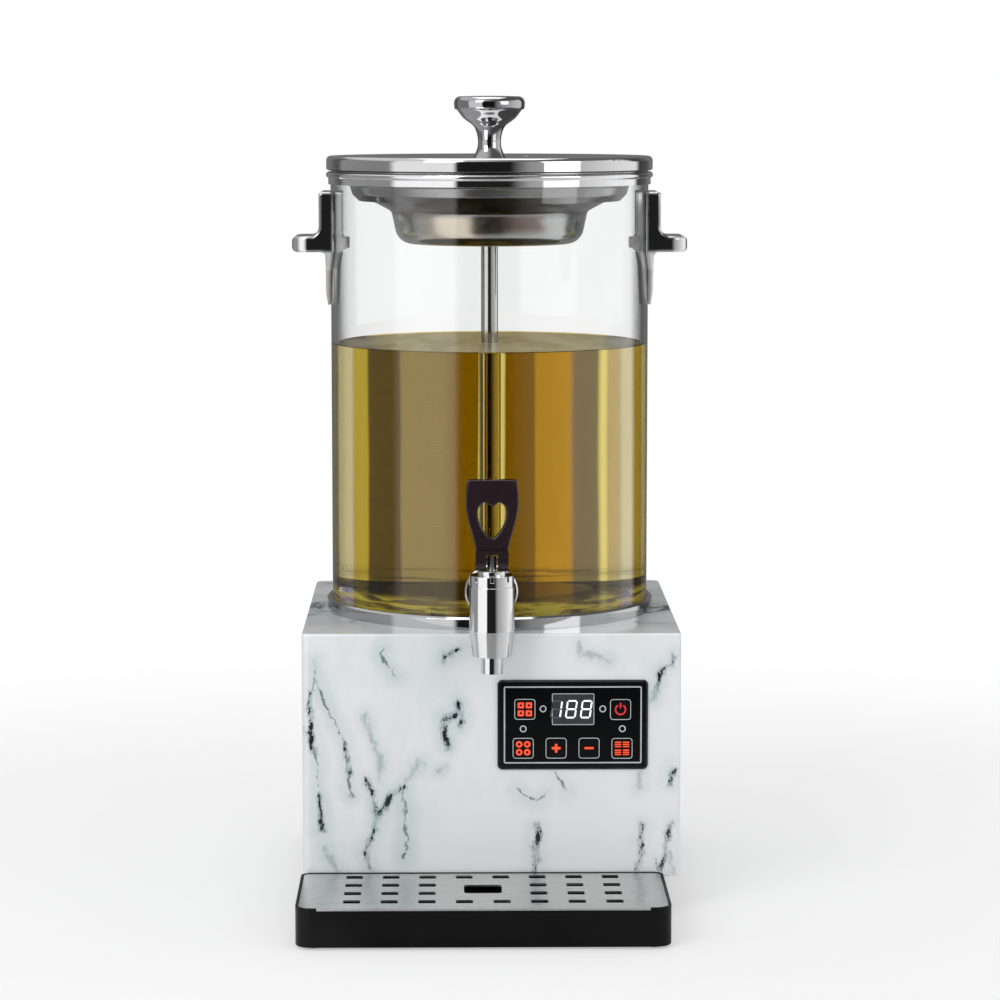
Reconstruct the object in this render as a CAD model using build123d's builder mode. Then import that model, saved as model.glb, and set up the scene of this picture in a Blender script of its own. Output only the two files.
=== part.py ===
"""Automatic tea maker: a glass jar with a percolator brew unit on a heated base with a drip tray.

Millimetres, +Z up from the table top. The origin is at the middle of the footprint, and the
jar's axis stands at X = 0, Y = JAR_Y. The front, with the tap and the keys, faces -Y.
"""
from build123d import *
import math
import os

os.makedirs("parts", exist_ok=True)

# Clearances
FIT = 0.3                  # pieces dropped in or over one another
RUN = 0.08                 # radial running clearance of the tap's stem and pin
SCREW_FIT = 0.05           # radial clearance of screws in their holes

# Base
BASE_W = 260.0
BASE_D = 260.0
BASE_H = 169.0
BASE_CORNER_R = 5.0
BASE_EDGE_R = 1.8
SHELL_T = 2.5
FOOT_H = 25.0
FOOT_R = 16.0
FOOT_TAPER = 2.0           # how much the foot's sole is smaller in radius than its top
FOOT_INSET = 35.0           # from the base's sides to the middle of a foot
FOOT_BORE_R = 5.0
FOOT_FLOOR_T = 6.0         # rubber left above the foot's screw head
FOOT_SCREW_R = 2.0
FOOT_SCREW_HEAD_R = 4.0
FOOT_SCREW_HEAD_T = 3.0
FOOT_SCREW_BOSS_R = 5.0
FOOT_SCREW_BOSS_H = 5.0
PLATE_T = 2.0
POST_W = 12.0
POST_H = 20.0
CASE_SCREW_R = 1.5          # one kind of screw holds the bottom plate and the mains inlet
CASE_SCREW_LEN = 10.0
CASE_SCREW_HEAD_R = 3.0
CASE_SCREW_HEAD_T = 1.6
VENT_W = 46.0
VENT_H = 4.0
VENT_PITCH = 12.0
VENT_ROWS = 5

# Hex nuts on the dish's studs and the handles' bolts, all of one size
BOLT_R = 2.5
HEX_NUT_FLATS = 8.0
HEX_NUT_T = 4.0

# Mains inlet in the back wall
INLET_INSET = 60.0         # from the base's side to the middle of the inlet
INLET_RISE = 43.0          # from the base's lower edge to the middle of the inlet
INLET_FLANGE_W = 50.0
INLET_FLANGE_H = 25.0
INLET_FLANGE_T = 2.5
INLET_FLANGE_R = 5.0
INLET_BODY_W = 27.4
INLET_BODY_H = 20.0
INLET_BODY_D = 24.0
INLET_BODY_R = 1.0
INLET_MOUTH_W = 24.4
INLET_MOUTH_H = 16.6
INLET_MOUTH_D = 16.0
INLET_PIN_W = 2.0
INLET_PIN_H = 4.0
INLET_PIN_LEN = 13.0
INLET_PIN_TAIL = 8.0
INLET_PIN_PITCH = 14.0
INLET_EARTH_RISE = 4.0
INLET_SCREW_PITCH = 40.0

# Electronics inside the base
STANDOFF_R = 3.0
STANDOFF_H = 8.0
STANDOFF_INSET = 6.0       # from the board's edges to the middle of a standoff
POWER_BOARD_W = 110.0
POWER_BOARD_D = 80.0
BOARD_T = 1.6
TRANSFORMER_W = 40.0
TRANSFORMER_D = 34.0
TRANSFORMER_H = 28.0
RELAY_W = 20.0
RELAY_D = 16.0
RELAY_H = 16.0

# Control panel on the front
PANEL_INSET = 22.8         # from the base's right side to the panel's edge
PANEL_DROP = 31.9          # from the base's top to the panel's upper edge
PANEL_W = 103.2
PANEL_H = 62.2
PANEL_R = 3.4
FASCIA_R = 1.7
PANEL_PROUD = 2.2
PANEL_BEVEL = 1.2
BEZEL_W = 3.8              # width of the bezel's visible frame
BEZEL_LEDGE = 2.3          # width of the ledge that the fascia lies on
BEZEL_FACE_IN = 0.6        # how deep the fascia's face lies behind the bezel's
FASCIA_T = 1.4
SLEEVE_W = 96.4
SLEEVE_H = 55.4
SLEEVE_D = 8.0
KEY_W = 14.8
KEY_R = 2.6
KEY_PROUD = 0.5
KEY_LIP_W = 0.9            # retaining lip round the key, behind the fascia
KEY_LIP_T = 0.9
KEY_LIP_GAP = 0.2
KEY_STEM_R = 1.8
KEY_STEM_LEN = 2.0
KEY_TRAVEL = 0.6
SWITCH_W = 6.0
SWITCH_H = 1.3
DISPLAY_W = 28.8
DISPLAY_H = 21.7
DISPLAY_X = 0.2
DISPLAY_Y = 10.9
DISPLAY_MARGIN = 1.0       # how far the window reaches past the display module behind it
LED_R = 2.4
KEYS = {
    "key_menu": (-32.9, 11.0),
    "key_power": (32.7, 10.7),
    "key_timer": (-34.0, -16.1),
    "key_plus": (-11.4, -16.1),
    "key_minus": (11.2, -16.1),
    "key_mode": (33.8, -16.3),
}
LEDS = [(-20.4, 11.2), (20.5, 11.1), (-34.0, -2.7), (34.0, -2.7)]

# Glass jar and what carries it
GLASS_R = 113.0
GLASS_T = 4.0
GLASS_H = 303.7
GLASS_LIP_R = 1.2
DISH_T = 1.2
DISH_EDGE_W = 2.5          # how far the dish reaches out past the glass
DISH_WELL_INSET = 18.0     # from the outside of the glass to the dish's skirt
DISH_WELL_H = 10.0
FOOT_SEAL_T = 2.0
FOOT_SEAL_W = 6.0
JAR_RING_W = 4.0
JAR_RING_H = 9.0
JAR_RING_EDGE = 1.4
STUD_OUT = 10.0            # from the dish's skirt out to the ring of studs
STUD_COUNT = 6
STUD_LEN = 12.0
CLAMP_W = 14.0
CLAMP_T = 2.0
HEATER_R = 70.0
HEATER_T = 6.0
ELEMENT_RING_R = 52.0
ELEMENT_R = 4.0
ELEMENT_ARC = 326.0
TERMINAL_INSET = 3.0       # degrees from the ends of the element's arc to its terminals
TERMINAL_R = 2.0
TERMINAL_LEN = 14.0
THERMOSTAT_R = 8.0
THERMOSTAT_H = 10.0
THERMOSTAT_PITCH = 44.0
GASKET_T = 1.0
RIM_BEAD_OUT = 3.2         # how far the rim's bead stands out past the glass
RIM_SKIRT_T = 1.6          # from the outside of the glass to the rim skirt's outside
RIM_SKIRT_H = 4.5          # how far the rim ring reaches down over the glass
RIM_T = 4.3
RIM_LIP = 1.0              # how far the rim reaches in past the glass

# Handles
HANDLE_DROP = 8.7          # from the top of the glass to the top of the handle
HANDLE_BLOCK_H = 31.2      # height of the handle above its tab
HANDLE_TAB_H = 11.0
HANDLE_STRAP_H = 38.0      # height of the handle below its tab
HANDLE_BLOCK_T = 7.6       # from the glass to the block's outside
HANDLE_TAB_LEN = 19.4      # from the block's outside to the tab's end
HANDLE_STRAP_T = 3.1
HANDLE_HALF_W = 27.0
HANDLE_STRAP_HALF_W = 17.0
HANDLE_TIP_HALF_W = 9.0
HANDLE_TAB_R = 12.0
HANDLE_ROOT_R = 7.0        # between the block's outside and the tab's top
HANDLE_END_R = 4.0         # the tab's end, seen from the front
HANDLE_HEEL_R = 3.0        # between the strap and the tab's underside
HANDLE_SHOULDER_R = 2.0
HANDLE_EDGE_R = 1.2
HANDLE_BOLT_PITCH = 28.0
HANDLE_BOLT_IN_TAB = 5.5    # how far the bolts reach into the tab, past the block's outside
HANDLE_HOLE_R = 3.3
HANDLE_WASHER_R = 5.5
HANDLE_WASHER_T = 2.0

# Brew unit: pan, riser tube and pump bell
PAN_T = 0.8
PAN_FLANGE_W = 5.8         # width of the flange outside the pan's straight wall
PAN_RIM_GAP = 1.2          # from the rim's bore to the pan's straight wall
PAN_BRIM_DROP = 6.0         # from the flange's underside to the lower edge of the straight wall
PAN_NECK_W = 7.3           # each width is measured in from the straight wall
PAN_NECK_DROP = 9.5        # and each drop down from the flange's underside
PAN_STEP_1_W = 9.3
PAN_STEP_1_DROP = 16.0
PAN_LEDGE_DROP = 20.5
PAN_STEP_2_W = 22.8
PAN_THROAT_W = 37.0
PAN_THROAT_DROP = 28.0
PAN_BASE_W = 41.8
PAN_FLOOR_DROP = 51.0
PAN_SEAM_W = 4.0           # from the ledge's outer corner in to the seam of hanger and bowl
PAN_BEND_R = 3.0
PAN_THROAT_R = 5.0
PAN_BASE_R = 12.0
PAN_LIP_W = 16.0           # from the bowl's lower corner in to the edge of the lip under the sieve
SIEVE_LAP = 3.0            # how far the sieve lies on the lip
PAN_HOLE_R = 1.5
PAN_HOLE_PITCH = 11.0      # between the rings of holes, and from the middle to a ring left out
PAN_HOLE_RINGS = 3
TUBE_R = 6.0
TUBE_T = 0.8
TUBE_ABOVE_FLOOR = 30.0
NOZZLE_R = 8.0
NOZZLE_H = 8.0
NOZZLE_GRIP = 5.0          # length of tube inside the spray nozzle
NOZZLE_HOLE_R = 1.0
NOZZLE_HOLES = 6
BELL_GAP = 0.3
BELL_R = 61.7
BELL_TOP_R = 55.0
BELL_H = 14.0
BELL_T = 1.2
BELL_BOSS_R = 9.0
BELL_BOSS_H = 12.0
BELL_NOTCH_W = 9.7
BELL_NOTCH_H = 7.5
BELL_NOTCHES = 4
BELL_NOTCH_ANGLE = -123.0
SPREADER_GAP = 3.4         # from the ledge's corner in to the spreader plate's edge
SPREADER_T = 1.0
SPREADER_COLLAR_R = 11.0
SPREADER_COLLAR_H = 5.0
SPREADER_HOLE_R = 1.4
SPREADER_RING_1_R = 24.0
SPREADER_HOLE_PITCH = 16.0
SPREADER_HOLE_RINGS = 4
HOLES_PER_RING_STEP = 6    # each ring of holes has six more than the ring inside it

# Lid
LID_GAP = 0.3
LID_SEAL_T = 0.6
LID_RIM_INSET = 0.2         # how far the lid's edge lies behind the rim's bead
LID_RIM_H = 9.4
LID_EDGE_R = 3.2
LID_DISH = 2.2             # how far the lid's top sinks towards its middle
LID_SEAT_EDGE = 1.0        # width of the flat round the knob's foot
LID_T = 1.0
LINER_T = 0.8
LINER_SKIRT_GAP = 1.8      # from the pan's straight wall in to the liner's skirt
LINER_SKIRT_H = 6.0
VENT_HOLE_R = 3.5
VENT_HOLE_X = 27.0
VENT_HOLE_Y = 71.0
KNOB_H = 44.5
KNOB_FOOT_R = 12.3
KNOB_FOOT_LEAN = (-0.6, 1)
KNOB_NECK_R = 8.4          # each radius is reached at the height that follows it
KNOB_NECK_Z = 9.0
KNOB_WAIST_R = 8.8
KNOB_WAIST_Z = 17.0
KNOB_THROAT_R = 11.2
KNOB_THROAT_Z = 22.9
KNOB_CHEEK_R = 19.1
KNOB_CHEEK_Z = 29.4
KNOB_BROW_R = 23.6
KNOB_BROW_Z = 34.8
KNOB_R = 25.2
KNOB_WIDE_Z = 39.5
KNOB_FACE_R = 20.0         # where the rim's round edge meets the nearly flat top
KNOB_FACE_DROP = 0.4
KNOB_BORE_DEPTH = 18.0
KNOB_SCREW_R = 2.5
KNOB_SCREW_HEAD_R = 4.5
KNOB_SCREW_HEAD_T = 3.0

# Tap
TAP_AHEAD = 20.0           # the tap's upright axis in front of the base's front
TAP_SHANK_RISE = 24.3      # from the foot of the glass to the tap's shank
TAP_SHANK_R = 7.5
TAP_NECK_R = 8.4
TAP_SHANK_IN = 16.0        # how far the threaded shank reaches inside the glass
TAP_BODY_R = 15.4
TAP_BODY_RISE = 8.5        # the body's top above the shank's axis
TAP_BODY_H = 30.0          # height of the straight part of the body
TAP_FOOT_R = 13.2
TAP_FOOT_H = 17.7          # height of the tapered part
TAP_OUTLET_R = 7.5
TAP_OUTLET_H = 12.0
TAP_OUTLET_BORE_R = 5.0
TAP_SHANK_BORE_R = 4.5
TAP_SEAT_DROP = 7.5        # the valve seat below the shank's axis
TAP_CHAMBER_R = 8.2
TAP_GLASS_HOLE_R = 8.1
COLLAR_R = 18.3
COLLAR_T = 3.0
COLLAR_EDGE = 1.0
COLLAR_GAP = 2.4           # rubber between the collar's back and the front of the glass
TAP_WASHER_R = 17.0
TAP_INNER_WASHER_R = 13.0
TAP_INNER_WASHER_T = 3.0
TAP_NUT_FLATS = 24.0
TAP_NUT_T = 5.0
BONNET_R = 15.0
BONNET_H = 7.5
BONNET_NECK_R = 9.5
BONNET_NECK_H = 3.0
BONNET_SPIGOT_H = 3.0
BONNET_NOTCHES = 8
BONNET_NOTCH_W = 2.4
BONNET_NOTCH_D = 1.0
STEM_R = 3.2
STEM_HEAD_H = 3.6
SEAT_CUP_R = 6.6
SEAT_CUP_T = 4.5
SEAT_CUP_FLOOR_T = 1.5
SEAT_CUP_GAP = 0.2
PIN_RISE = 6.5             # lever pin above the bonnet's top when the tap is shut
PIN_R = 1.5
PIN_LEN = 21.6
CAM_R = 6.2
CAM_AHEAD = 3.0            # cam centre in front of the lever pin
FORK_HALF_W = 11.1
FORK_SLOT_HALF_W = 3.8
LEVER_T = 8.0
LEVER_RISE = 8.0           # the lever's waist above its pin
LEVER_H = 47.8
LEVER_WAIST_HALF_W = 10.9
LEVER_WAIST_LEAN = (0.2, 1)
LEVER_BELLY_HALF_W = 17.85
LEVER_BELLY_DROP = 16.8    # the widest place below the lever's top
LEVER_TOP_LEAN = (-0.12, 1)
LEVER_TOP_HALF_W = 16.75
LEVER_CORNER_R = 2.6
LEVER_EDGE_R = 1.1
LEVER_HOLE_DROP = 15.2     # the hole's top below the lever's top
LEVER_HOLE_LOBE_H = 6.6    # from the hole's widest place to its top
LEVER_HOLE_POINT_H = 18.6  # from the hole's widest place to its lowest point
LEVER_HOLE_HALF_W = 9.65
LEVER_HOLE_NOTCH = 3.0     # depth of the notch between the hole's two lobes
LEVER_HOLE_TIP_R = 3.0

# Drip tray and its grille
TRAY_W = 249.0
TRAY_D = 105.0
TRAY_H = 28.0
TRAY_X = -6.5
TRAY_GAP = 0.5
TRAY_RIM_W = 1.8
TRAY_FLOOR_T = 2.5
TRAY_FRONT_R = 11.0
TRAY_BACK_R = 7.0
TRAY_EDGE_R = 0.8
TRAY_PAD_R = 6.0
TRAY_PAD_T = 1.5
TRAY_LEDGE = 3.0           # width of the shelf that the grille lies on
TRAY_CORNER_KEEP = 14.5    # length of raised front rim kept at each front corner
GRILLE_T = 1.2
GRILLE_SUNK = 0.4          # the grille's top below the tray's rim
GRILLE_LIFT_GAP = 0.1
SLOT_W = 11.5
SLOT_H = 9.0
SLOT_R = 1.2
SLOT_COLUMNS = 8
SLOT_ROWS = 4
SLOT_PITCH_X = 25.0
SLOT_PITCH_Y = 23.7
SLOT_SHIFT_Y = 4.0         # the slot pattern lies nearer the base
BIG_SLOT_W = 25.5
BIG_SLOT_H = 24.0
BIG_SLOT_R = 3.0

# Places worked out from the sizes above
FOOT_PITCH_X = BASE_W - 2 * FOOT_INSET
FOOT_PITCH_Y = BASE_D - 2 * FOOT_INSET
DECK_Z = FOOT_H + BASE_H
PLATE_TOP = FOOT_H + PLATE_T
JAR_Y = (TRAY_D + TRAY_GAP - INLET_FLANGE_T) / 2
FRONT_Y = JAR_Y - BASE_D / 2
BACK_Y = JAR_Y + BASE_D / 2
TAP_Y = FRONT_Y - TAP_AHEAD
INLET_X = INLET_INSET - BASE_W / 2
INLET_Z = FOOT_H + INLET_RISE
PANEL_X = BASE_W / 2 - PANEL_INSET - PANEL_W / 2
PANEL_Z = DECK_Z - PANEL_DROP - PANEL_H / 2
GLASS_IN_R = GLASS_R - GLASS_T
DISH_R = GLASS_R + DISH_EDGE_W
DISH_WELL_R = GLASS_R - DISH_WELL_INSET
STUD_RING_R = DISH_WELL_R + STUD_OUT
GLASS_Z = DECK_Z + DISH_T + FOOT_SEAL_T
GLASS_TOP = GLASS_Z + GLASS_H
RIM_LOW = GLASS_TOP + GASKET_T
RIM_TOP = RIM_LOW + RIM_T
RIM_BEAD_R = GLASS_R + RIM_BEAD_OUT
RIM_SKIRT_R = GLASS_R + RIM_SKIRT_T
RIM_IN_R = GLASS_IN_R - RIM_LIP
HANDLE_TOP = GLASS_TOP - HANDLE_DROP
HANDLE_TAB_TOP = HANDLE_TOP - HANDLE_BLOCK_H
HANDLE_TAB_BOTTOM = HANDLE_TAB_TOP - HANDLE_TAB_H
HANDLE_LOW = HANDLE_TAB_BOTTOM - HANDLE_STRAP_H
HANDLE_BOLT_Z = HANDLE_TAB_TOP - HANDLE_TAB_H / 2
HANDLE_BLOCK_R = GLASS_R + HANDLE_BLOCK_T
HANDLE_REACH = HANDLE_BLOCK_R + HANDLE_TAB_LEN
HANDLE_STRAP_R = GLASS_R + HANDLE_STRAP_T
HANDLE_BOLT_END = HANDLE_BLOCK_R + HANDLE_BOLT_IN_TAB
PAN_WALL_R = RIM_IN_R - PAN_RIM_GAP
PAN_STEP_1_R = PAN_WALL_R - PAN_STEP_1_W
PAN_LEDGE_OUT_R = PAN_STEP_1_R - PAN_LEDGE_DROP + PAN_STEP_1_DROP
PAN_TOP = RIM_TOP + PAN_T
PAN_FLOOR_Z = RIM_TOP - PAN_FLOOR_DROP
LID_Z = PAN_TOP + LID_GAP + LID_SEAL_T
LID_TOP = LID_Z + LID_RIM_H - LID_DISH
LID_SEAT_R = KNOB_FOOT_R + LID_SEAT_EDGE
LID_R = RIM_BEAD_R - LID_RIM_INSET
LINER_SKIRT_R = PAN_WALL_R - PAN_T - LINER_SKIRT_GAP
TUBE_TOP = PAN_FLOOR_Z + TUBE_ABOVE_FLOOR
BELL_Z = DECK_Z + DISH_T + BELL_GAP
BELL_TOP = BELL_Z + BELL_H
SPREADER_Z = RIM_TOP - PAN_LEDGE_DROP + PAN_T + FIT
SPREADER_R = PAN_LEDGE_OUT_R - SPREADER_GAP
TAP_SHANK_Z = GLASS_Z + TAP_SHANK_RISE
TAP_SEAT_Z = TAP_SHANK_Z - TAP_SEAT_DROP
TAP_BODY_TOP = TAP_SHANK_Z + TAP_BODY_RISE
TAP_TAPER_Z = TAP_BODY_TOP - TAP_BODY_H
TAP_FOOT_Z = TAP_TAPER_Z - TAP_FOOT_H
TAP_OUTLET_Z = TAP_FOOT_Z - TAP_OUTLET_H
BONNET_TOP = TAP_BODY_TOP + BONNET_H + BONNET_NECK_H
PIN_Z = BONNET_TOP + PIN_RISE
LEVER_LOW_Z = PIN_Z + LEVER_RISE
LEVER_TOP_Z = LEVER_LOW_Z + LEVER_H
LEVER_BELLY_Z = LEVER_TOP_Z - LEVER_BELLY_DROP
LEVER_HOLE_TOP_Z = LEVER_TOP_Z - LEVER_HOLE_DROP
LEVER_HOLE_WIDE_Z = LEVER_HOLE_TOP_Z - LEVER_HOLE_LOBE_H
LEVER_HOLE_LOW_Z = LEVER_HOLE_WIDE_Z - LEVER_HOLE_POINT_H
TRAY_Y = FRONT_Y - TRAY_GAP - TRAY_D / 2
GRILLE_TOP = TRAY_H - GRILLE_SUNK
GRILLE_Z = GRILLE_TOP - GRILLE_T
HEATER_Z = DECK_Z - HEATER_T

# Planes and axes that several pieces share. The front planes look out along -Y.
JAR_PLANE = Plane((0, JAR_Y, 0), x_dir=(1, 0, 0), z_dir=(0, -1, 0))
JAR_AXIS = Axis((0, JAR_Y, 0), (0, 0, 1))
TAP_PLANE = Plane((0, TAP_Y, 0), x_dir=(1, 0, 0), z_dir=(0, -1, 0))
TAP_AXIS = Axis((0, TAP_Y, 0), (0, 0, 1))
PANEL_PLANE = Plane((PANEL_X, FRONT_Y, PANEL_Z), x_dir=(1, 0, 0), z_dir=(0, -1, 0))
INLET_PLANE = Plane((INLET_X, BACK_Y, INLET_Z), x_dir=(-1, 0, 0), z_dir=(0, 1, 0))
UPRIGHT = (Align.CENTER, Align.CENTER, Align.MIN)


def level(z, y=JAR_Y, x=0.0):
    """A level plane at height z, centred on the jar unless told otherwise."""
    return Plane((x, y, z))


def finish(piece, label):
    """Name a finished piece and write its file."""
    piece.part.label = label
    export_step(piece.part, f"parts/{label}.step")


# Base housing: a deep box, open below, with a post in each corner for the bottom plate
POST_PITCH_X = BASE_W - 2 * SHELL_T - POST_W
POST_PITCH_Y = BASE_D - 2 * SHELL_T - POST_W
with BuildPart() as base_housing:
    with BuildSketch(level(FOOT_H)):
        RectangleRounded(BASE_W, BASE_D, BASE_CORNER_R)
    extrude(amount=BASE_H)
    fillet(base_housing.faces().sort_by(Axis.Z)[-1].edges(), BASE_EDGE_R)
    with BuildSketch(level(FOOT_H)):
        RectangleRounded(BASE_W - 2 * SHELL_T, BASE_D - 2 * SHELL_T, BASE_CORNER_R - SHELL_T)
    extrude(amount=BASE_H - SHELL_T, mode=Mode.SUBTRACT)
    with BuildSketch(level(PLATE_TOP)):
        with GridLocations(POST_PITCH_X, POST_PITCH_Y, 2, 2):
            Rectangle(POST_W, POST_W)
    extrude(amount=POST_H)
    with BuildSketch(level(PLATE_TOP)):
        with GridLocations(POST_PITCH_X, POST_PITCH_Y, 2, 2):
            Circle(CASE_SCREW_R)
    extrude(amount=CASE_SCREW_LEN - PLATE_T + FIT, mode=Mode.SUBTRACT)
    with BuildSketch(level(DECK_Z)):
        Circle(DISH_WELL_R + FIT)
        with PolarLocations(STUD_RING_R, STUD_COUNT):
            Circle(BOLT_R + FIT)
    extrude(amount=-SHELL_T, mode=Mode.SUBTRACT)
    with BuildSketch(PANEL_PLANE):
        Rectangle(SLEEVE_W + 2 * FIT, SLEEVE_H + 2 * FIT)
    extrude(amount=-SHELL_T, mode=Mode.SUBTRACT)
    with BuildSketch(INLET_PLANE):
        Rectangle(INLET_BODY_W + 2 * FIT, INLET_BODY_H + 2 * FIT)
        with GridLocations(INLET_SCREW_PITCH, 0, 2, 1):
            Circle(CASE_SCREW_R)
    extrude(amount=-SHELL_T, mode=Mode.SUBTRACT)
finish(base_housing, "base_housing")

# Bottom plate, with vents, bosses for the foot screws and standoffs for the power board
PLATE_W = BASE_W - 2 * SHELL_T - 2 * FIT
PLATE_D = BASE_D - 2 * SHELL_T - 2 * FIT
STANDOFF_PITCH_X = POWER_BOARD_W - 2 * STANDOFF_INSET
STANDOFF_PITCH_Y = POWER_BOARD_D - 2 * STANDOFF_INSET
with BuildPart() as base_bottom_plate:
    with BuildSketch(level(FOOT_H)):
        RectangleRounded(PLATE_W, PLATE_D, BASE_CORNER_R - SHELL_T)
        with GridLocations(0, VENT_PITCH, 1, VENT_ROWS):
            SlotOverall(VENT_W, VENT_H, mode=Mode.SUBTRACT)
        with GridLocations(POST_PITCH_X, POST_PITCH_Y, 2, 2):
            Circle(CASE_SCREW_R + SCREW_FIT, mode=Mode.SUBTRACT)
    extrude(amount=PLATE_T)
    with BuildSketch(level(PLATE_TOP)):
        with GridLocations(FOOT_PITCH_X, FOOT_PITCH_Y, 2, 2):
            Circle(FOOT_SCREW_BOSS_R)
    extrude(amount=FOOT_SCREW_BOSS_H)
    with BuildSketch(level(PLATE_TOP)):
        with GridLocations(STANDOFF_PITCH_X, STANDOFF_PITCH_Y, 2, 2):
            Circle(STANDOFF_R)
    extrude(amount=STANDOFF_H)
    with BuildSketch(level(FOOT_H)):
        with GridLocations(FOOT_PITCH_X, FOOT_PITCH_Y, 2, 2):
            Circle(FOOT_SCREW_R + SCREW_FIT)
    extrude(amount=PLATE_T + FOOT_SCREW_BOSS_H, mode=Mode.SUBTRACT)
finish(base_bottom_plate, "base_bottom_plate")

# Rubber feet, screwed up into the bottom plate through a deep hole in each sole
FOOT_BORE_H = FOOT_H - FOOT_FLOOR_T
with BuildPart() as rubber_feet:
    with GridLocations(FOOT_PITCH_X, FOOT_PITCH_Y, 2, 2):
        with Locations((0, JAR_Y, 0)):
            Cone(FOOT_R - FOOT_TAPER, FOOT_R, FOOT_H, align=UPRIGHT)
            Cylinder(FOOT_BORE_R, FOOT_BORE_H, align=UPRIGHT, mode=Mode.SUBTRACT)
            Cylinder(FOOT_SCREW_R + SCREW_FIT, FOOT_H, align=UPRIGHT, mode=Mode.SUBTRACT)
finish(rubber_feet, "rubber_feet")

with BuildPart() as foot_screws:
    with BuildSketch(level(FOOT_BORE_H)):
        with GridLocations(FOOT_PITCH_X, FOOT_PITCH_Y, 2, 2):
            Circle(FOOT_SCREW_HEAD_R)
    extrude(amount=-FOOT_SCREW_HEAD_T)
    with BuildSketch(level(FOOT_BORE_H)):
        with GridLocations(FOOT_PITCH_X, FOOT_PITCH_Y, 2, 2):
            Circle(FOOT_SCREW_R)
    extrude(amount=FOOT_FLOOR_T + PLATE_T + FOOT_SCREW_BOSS_H - FIT)
finish(foot_screws, "foot_screws")

# Mains inlet: a three-pin socket with a flange outside the back wall
with BuildPart() as mains_inlet:
    with BuildSketch(INLET_PLANE):
        RectangleRounded(INLET_FLANGE_W, INLET_FLANGE_H, INLET_FLANGE_R)
    extrude(amount=INLET_FLANGE_T)
    with BuildSketch(INLET_PLANE):
        RectangleRounded(INLET_BODY_W, INLET_BODY_H, INLET_BODY_R)
    extrude(amount=-INLET_BODY_D)
    with BuildSketch(INLET_PLANE.offset(INLET_FLANGE_T)):
        RectangleRounded(INLET_MOUTH_W, INLET_MOUTH_H, INLET_BODY_R)
    extrude(amount=-INLET_MOUTH_D, mode=Mode.SUBTRACT)
    with BuildSketch(INLET_PLANE.offset(-INLET_BODY_D)):
        with GridLocations(INLET_PIN_PITCH, 0, 2, 1):
            Rectangle(INLET_PIN_W, INLET_PIN_H)
        with Locations((0, INLET_EARTH_RISE)):
            Rectangle(INLET_PIN_W, INLET_PIN_H)
    extrude(amount=INLET_BODY_D, mode=Mode.SUBTRACT)
    with BuildSketch(INLET_PLANE):
        with GridLocations(INLET_SCREW_PITCH, 0, 2, 1):
            Circle(CASE_SCREW_R + SCREW_FIT)
    extrude(amount=INLET_FLANGE_T, mode=Mode.SUBTRACT)
    with BuildSketch(INLET_PLANE.offset(INLET_FLANGE_T)):
        with GridLocations(INLET_SCREW_PITCH, 0, 2, 1):
            Circle(CASE_SCREW_HEAD_R + FIT)
    extrude(amount=-CASE_SCREW_HEAD_T, mode=Mode.SUBTRACT)
finish(mains_inlet, "mains_inlet")

INLET_MOUTH_FLOOR = INLET_FLANGE_T - INLET_MOUTH_D
with BuildPart() as inlet_pins:
    with BuildSketch(INLET_PLANE.offset(-INLET_BODY_D - INLET_PIN_TAIL)):
        with GridLocations(INLET_PIN_PITCH, 0, 2, 1):
            Rectangle(INLET_PIN_W, INLET_PIN_H)
        with Locations((0, INLET_EARTH_RISE)):
            Rectangle(INLET_PIN_W, INLET_PIN_H)
    extrude(amount=INLET_PIN_TAIL + INLET_BODY_D + INLET_MOUTH_FLOOR + INLET_PIN_LEN)
finish(inlet_pins, "inlet_pins")

# Case screws: four up through the bottom plate, two in through the inlet's flange
with BuildPart() as case_screws:
    with BuildSketch(level(FOOT_H)):
        with GridLocations(POST_PITCH_X, POST_PITCH_Y, 2, 2):
            Circle(CASE_SCREW_HEAD_R)
    extrude(amount=-CASE_SCREW_HEAD_T)
    with BuildSketch(level(FOOT_H)):
        with GridLocations(POST_PITCH_X, POST_PITCH_Y, 2, 2):
            Circle(CASE_SCREW_R)
    extrude(amount=CASE_SCREW_LEN)
    with BuildSketch(INLET_PLANE.offset(INLET_FLANGE_T)):
        with GridLocations(INLET_SCREW_PITCH, 0, 2, 1):
            Circle(CASE_SCREW_HEAD_R)
    extrude(amount=-CASE_SCREW_HEAD_T)
    with BuildSketch(INLET_PLANE.offset(INLET_FLANGE_T)):
        with GridLocations(INLET_SCREW_PITCH, 0, 2, 1):
            Circle(CASE_SCREW_R)
    extrude(amount=-CASE_SCREW_LEN)
finish(case_screws, "case_screws")

# Power board on its standoffs: board, transformer and two relays
BOARD_Z = PLATE_TOP + STANDOFF_H
with BuildPart() as power_board:
    with BuildSketch(level(BOARD_Z)):
        Rectangle(POWER_BOARD_W, POWER_BOARD_D)
    extrude(amount=BOARD_T)
    with BuildSketch(level(BOARD_Z + BOARD_T, x=-POWER_BOARD_W / 4)):
        Rectangle(TRANSFORMER_W, TRANSFORMER_D)
    extrude(amount=TRANSFORMER_H)
    with BuildSketch(level(BOARD_Z + BOARD_T, x=POWER_BOARD_W / 4)):
        with GridLocations(0, 2 * RELAY_D, 1, 2):
            Rectangle(RELAY_W, RELAY_D)
    extrude(amount=RELAY_H)
finish(power_board, "power_board")

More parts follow.
